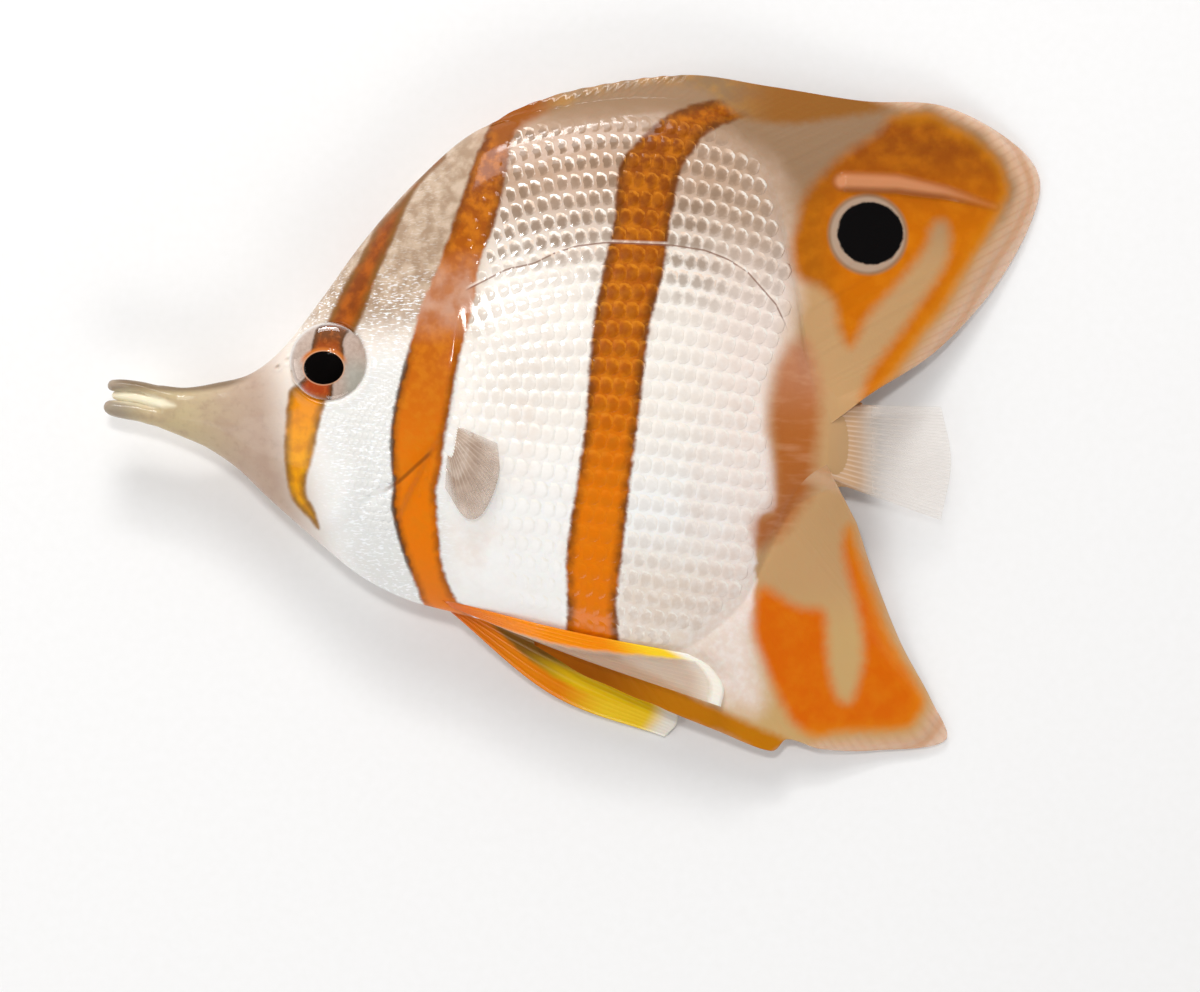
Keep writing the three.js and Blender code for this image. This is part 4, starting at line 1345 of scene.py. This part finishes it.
def median_fin(name, spec):
    """A median fin: straight rays from a line inside the back or belly to their tips. Over the body it
    follows the flank and outside it thins to a plate, the two blended so that no edge shows. The membrane
    is notched a little between the tips of its spines, and the pleat is a fold of its left face."""
    columns, steps = spec["grid"]
    share = np.linspace(0, 1, columns)
    root, tip = fin_rays(spec, share)
    reach = tip[:, :2] - root
    spiny = 1 - smooth(share * spec["rays"], spec["spines"] - 0.5, spec["spines"] + 0.5)
    notch = 0.015 * np.sin(np.pi * (share * spec["rays"] % 1)) ** 2 * spiny
    out = np.linspace(0, 1, steps)[None, :] * (1 - notch)[:, None]
    x, y = np.moveaxis(root[:, None, :] + reach[:, None, :] * out[..., None], -1, 0)
    share, spiny, flesh = share[:, None], spiny[:, None], flank(x, y)
    left_body = np.argmax(flesh < 0.05, axis=1)[:, None] / steps
    beyond = np.clip((out - left_body) / (1 - left_body), 0, 1)
    drop = (tip[:, 2] - MID_HEIGHT)[:, None] * beyond**2 / (beyond + 0.06) * 1.06
    ridge = ridges(share, out, spec["rays"]) * smooth(beyond, 0, 0.15)
    half = MARGIN_HALF + (FIN_ROOT_HALF - MARGIN_HALF) * (1 - beyond) ** 2
    half = half + (0.02 + 0.06 * spiny) * ridge * (1 - 0.6 * beyond)
    half = blended(flesh - COAT, half, BLEND * smooth(beyond, 0.5, 0))
    half = half - 0.12 * smooth(out * np.hypot(*reach.T)[:, None], 2.0, 0)
    half = np.maximum(half - 0.6 * smooth(share, 0.05, 0) * smooth(flesh, 0.4, 1.2), MARGIN_HALF)
    marks = marks_at(x, y)
    left = half + pleat_fold(x, marks["pleat"])
    marks["ray"] = 0.55 * ridge * (1 + 0.6 * spiny)
    fin_plate(name, np.stack([x, y, MID_HEIGHT + drop], axis=-1), left, half, fin_paint, marks)


fin_paint = fin_material()
median_fin("dorsal_fin", DORSAL)
median_fin("anal_fin", ANAL)

# Tail, pectoral and pelvic fins. Thin wet membranes on fine rays: the tail and pectorals are nearly clear,
# and the pelvics have an orange leading spine and yellow membrane drawn out to a white tip. The rows of a
# root, a middle or tips are a share across the fin and a point. half is the half thickness at the root and
# at the margin, and ridge how far the rays stand out.
CAUDAL = {
    "rays": 17,
    "grid": (137, 60),
    "half": (0.95, 0.12),
    "ridge": 0.03,
    "root": [[0, 22.2, 0.9, 5.25], [1, 22.2, -5.8, 5.25]],
    "tips": [[0, 32.0, 0.7, 2.3], [0.5, 32.9, -4.1, 1.9], [1, 32.0, -9.2, 2.1]],
}
# The pectoral's last numbers are heights over the flank.
PECTORAL = {
    "rays": 14,
    "grid": (113, 40),
    "half": (0.2, 0.08),
    "ridge": 0.025,
    "root": [[0, -10.4, -0.9, -0.35], [1, -10.8, -3.1, -0.35]],
    "tips": [
        [0, -6.5, -2.6, 0.6],
        [0.3, -6.4, -5.4, 0.8],
        [0.6, -7.8, -8.6, 0.8],
        [0.8, -9.3, -8.9, 0.7],
        [1, -11.0, -6.4, 0.6],
    ],
}
PELVIC = {"rays": 6, "grid": (61, 90), "half": (0.3, 0.12), "ridge": 0.03}
PELVIC_LEFT = PELVIC | {
    "root": [[0, -11.6, -15.9, 6.2], [1, -10.6, -16.7, 6.3]],
    "middle": [[0, -0.9, -18.6, 6.95], [1, 0.0, -20.9, 6.8]],
    "tips": [[0, 9.8, -20.7, 6.3], [0.3, 11.7, -21.8, 6.15], [0.65, 12.9, -23.6, 6.0], [1, 12.7, -25.3, 5.9]],
}
PELVIC_RIGHT = PELVIC | {
    "root": [[0, -11.0, -16.9, 4.3], [1, -9.4, -16.9, 4.2]],
    "middle": [[0, -1.9, -24.5, 1.5], [1, -0.9, -19.7, 2.7]],
    "tips": [[0, 7.9, -28.2, 0.42], [0.5, 9.0, -26.9, 0.6], [1, 9.2, -24.8, 0.9]],
}
EDGE_HALF = 0.06
MEMBRANE = {"Roughness": 0.3, "Coat Weight": 0.3, "Coat Roughness": 0.06}


def clear_fin_material():
    """A clear wet membrane between a little denser rays, which clears outwards and at its sides."""
    material, tree = new_material("pectoral")
    ray, share = mark(tree, "ray"), mark(tree, "share")
    colour = painted(
        tree,
        (176, 146, 122),
        [(206, 180, 158), (noise(tree, 1), 0.35, 0.75)],
        [(226, 204, 186), ray, 0.4],
    )
    alpha = plus(tree, (mark(tree, "out"), 0.1, 0.95, 0.68, 0.3), times(tree, ray, 0.12))
    sides = times(tree, (share, 0, 0.15), (share, 1, 0.85))
    alpha = times(tree, alpha, calculate(tree, "MULTIPLY_ADD", sides, 0.6, 0.5))
    finish(tree, {"Base Color": colour, "Alpha": alpha} | MEMBRANE)
    return material


def tail_material():
    """Tan scaled skin at the root of the tail fin, clearing to a membrane like glass between faint rays."""
    material, tree = new_material("tail_fin")
    x, _y = coordinates(tree)
    ray = mark(tree, "ray")
    blurred = plus(tree, x, noise(tree, 1.6))
    colour = painted(
        tree,
        (206, 164, 124),
        [(236, 218, 200), (blurred, 24.4, 26.8)],
        [(246, 230, 212), ray, 0.35],
    )
    alpha = plus(tree, (blurred, 24, 27.4, 1, 0.1), times(tree, ray, 0.1))
    finish(tree, {"Base Color": colour, "Alpha": alpha} | MEMBRANE)
    return material


def pelvic_material(name, membrane, far, clear, turn):
    """An orange leading band that turns yellow over the share turn of its length and ends in a white tip,
    and a membrane behind it that turns to the colour far outwards, later along its inner edge. clear is how
    dense the membrane is."""
    material, tree = new_material(name)
    out, ray = mark(tree, "out"), mark(tree, "ray")
    reached = minus(tree, out, (mark(tree, "share"), 0.45, 0.95, 0, 0.4))
    uneven = plus(tree, mark(tree, "lead"), times(tree, noise(tree, 1.2), 0.4))
    spine = painted(tree, (214, 106, 0), [(244, 140, 0), (out, 0, 0.4)], [(255, 210, 40), (out, *turn)])
    colour = painted(
        tree,
        membrane,
        [far, (reached, 0.3, 0.62)],
        [(255, 232, 180), ray, 0.08],
        [spine, (uneven, 2.1, 1.5)],
        [(252, 244, 230), (out, 0.88, 0.97)],
    )
    dense = calculate(tree, "MAXIMUM", (uneven, 2.2, 1.6, clear, 1), times(tree, ray, clear + 0.1))
    dense = calculate(tree, "MAXIMUM", dense, (out, 0.94, 0.97, 0, 0.95))
    inputs = {"Base Color": colour, "Roughness": 0.36, "Alpha": dense, "Coat Weight": 0.4}
    inputs |= {"Coat Roughness": 0.08, "Specular IOR Level": 0.1, "Subsurface Weight": 0.2}
    finish(tree, inputs | {"Subsurface Scale": 0.0005})
    return material


def ray_fin(name, spec, curves, material):
    """A fin whose rays run through two or three curves, the first its root and the last its tips."""
    columns, steps = spec["grid"]
    share = np.linspace(0, 1, columns)
    out = np.linspace(0, 1, steps)
    lines = np.stack([curve(share) for curve in curves])
    rows = np.column_stack([np.linspace(0, 1, len(curves)), lines.reshape(len(curves), -1)])
    middle = along(rows, out).reshape(steps, columns, 3).transpose(1, 0, 2)
    across, away = np.meshgrid(share, out, indexing="ij")
    ridge = ridges(across, away, spec["rays"])
    root_half, margin_half = spec["half"]
    thick = root_half + (margin_half - root_half) * np.sqrt(away) + spec["ridge"] * ridge * (1 - 0.5 * away)
    edge = smooth(across, -0.02, 0.05) * (1 - smooth(across, 0.95, 1.02))
    thick = EDGE_HALF + (thick - EDGE_HALF) * edge
    lead = np.linalg.norm(middle - middle[:1], axis=-1)
    marks = {"share": across, "out": away, "ray": ridge, "lead": lead}
    fin_plate(name, middle, thick, thick, material, marks)


def over_flank(rows, side):
    """A curve through rows of [share, x, y, height over the flank] on one side of the fish."""

    def curve(share):
        x, y, off = along(rows, share).T
        return np.stack([x, y, MID_HEIGHT + side * (flank(x, y) + off)], axis=-1)

    return curve


def in_space(rows):
    """A curve through rows of [share, x, y, z]."""
    return lambda share: along(rows, share)


ray_fin("caudal_fin", CAUDAL, [in_space(CAUDAL[k]) for k in ("root", "tips")], tail_material())
pectoral_paint = clear_fin_material()
for side, name in ((1, "left"), (-1, "right")):
    curves = [over_flank(PECTORAL[k], side) for k in ("root", "tips")]
    ray_fin(f"pectoral_fin_{name}", PECTORAL, curves, pectoral_paint)
near_paint = pelvic_material("pelvic_near", (218, 196, 174), (216, 194, 172), 0.34, (0.62, 0.84))
# The far pelvic's membrane is painted dark olive brown near its root as shade under the near fin and the
# belly, and turns to yellow outwards.
shaded_far_paint = pelvic_material("pelvic_far_shaded", (138, 92, 14), (250, 204, 0), 0.97, (0.5, 0.74))
for name, spec, paint in (("left", PELVIC_LEFT, near_paint), ("right", PELVIC_RIGHT, shaded_far_paint)):
    curves = [in_space(spec[k]) for k in ("root", "middle", "tips")]
    ray_fin(f"pelvic_fin_{name}", spec, curves, paint)
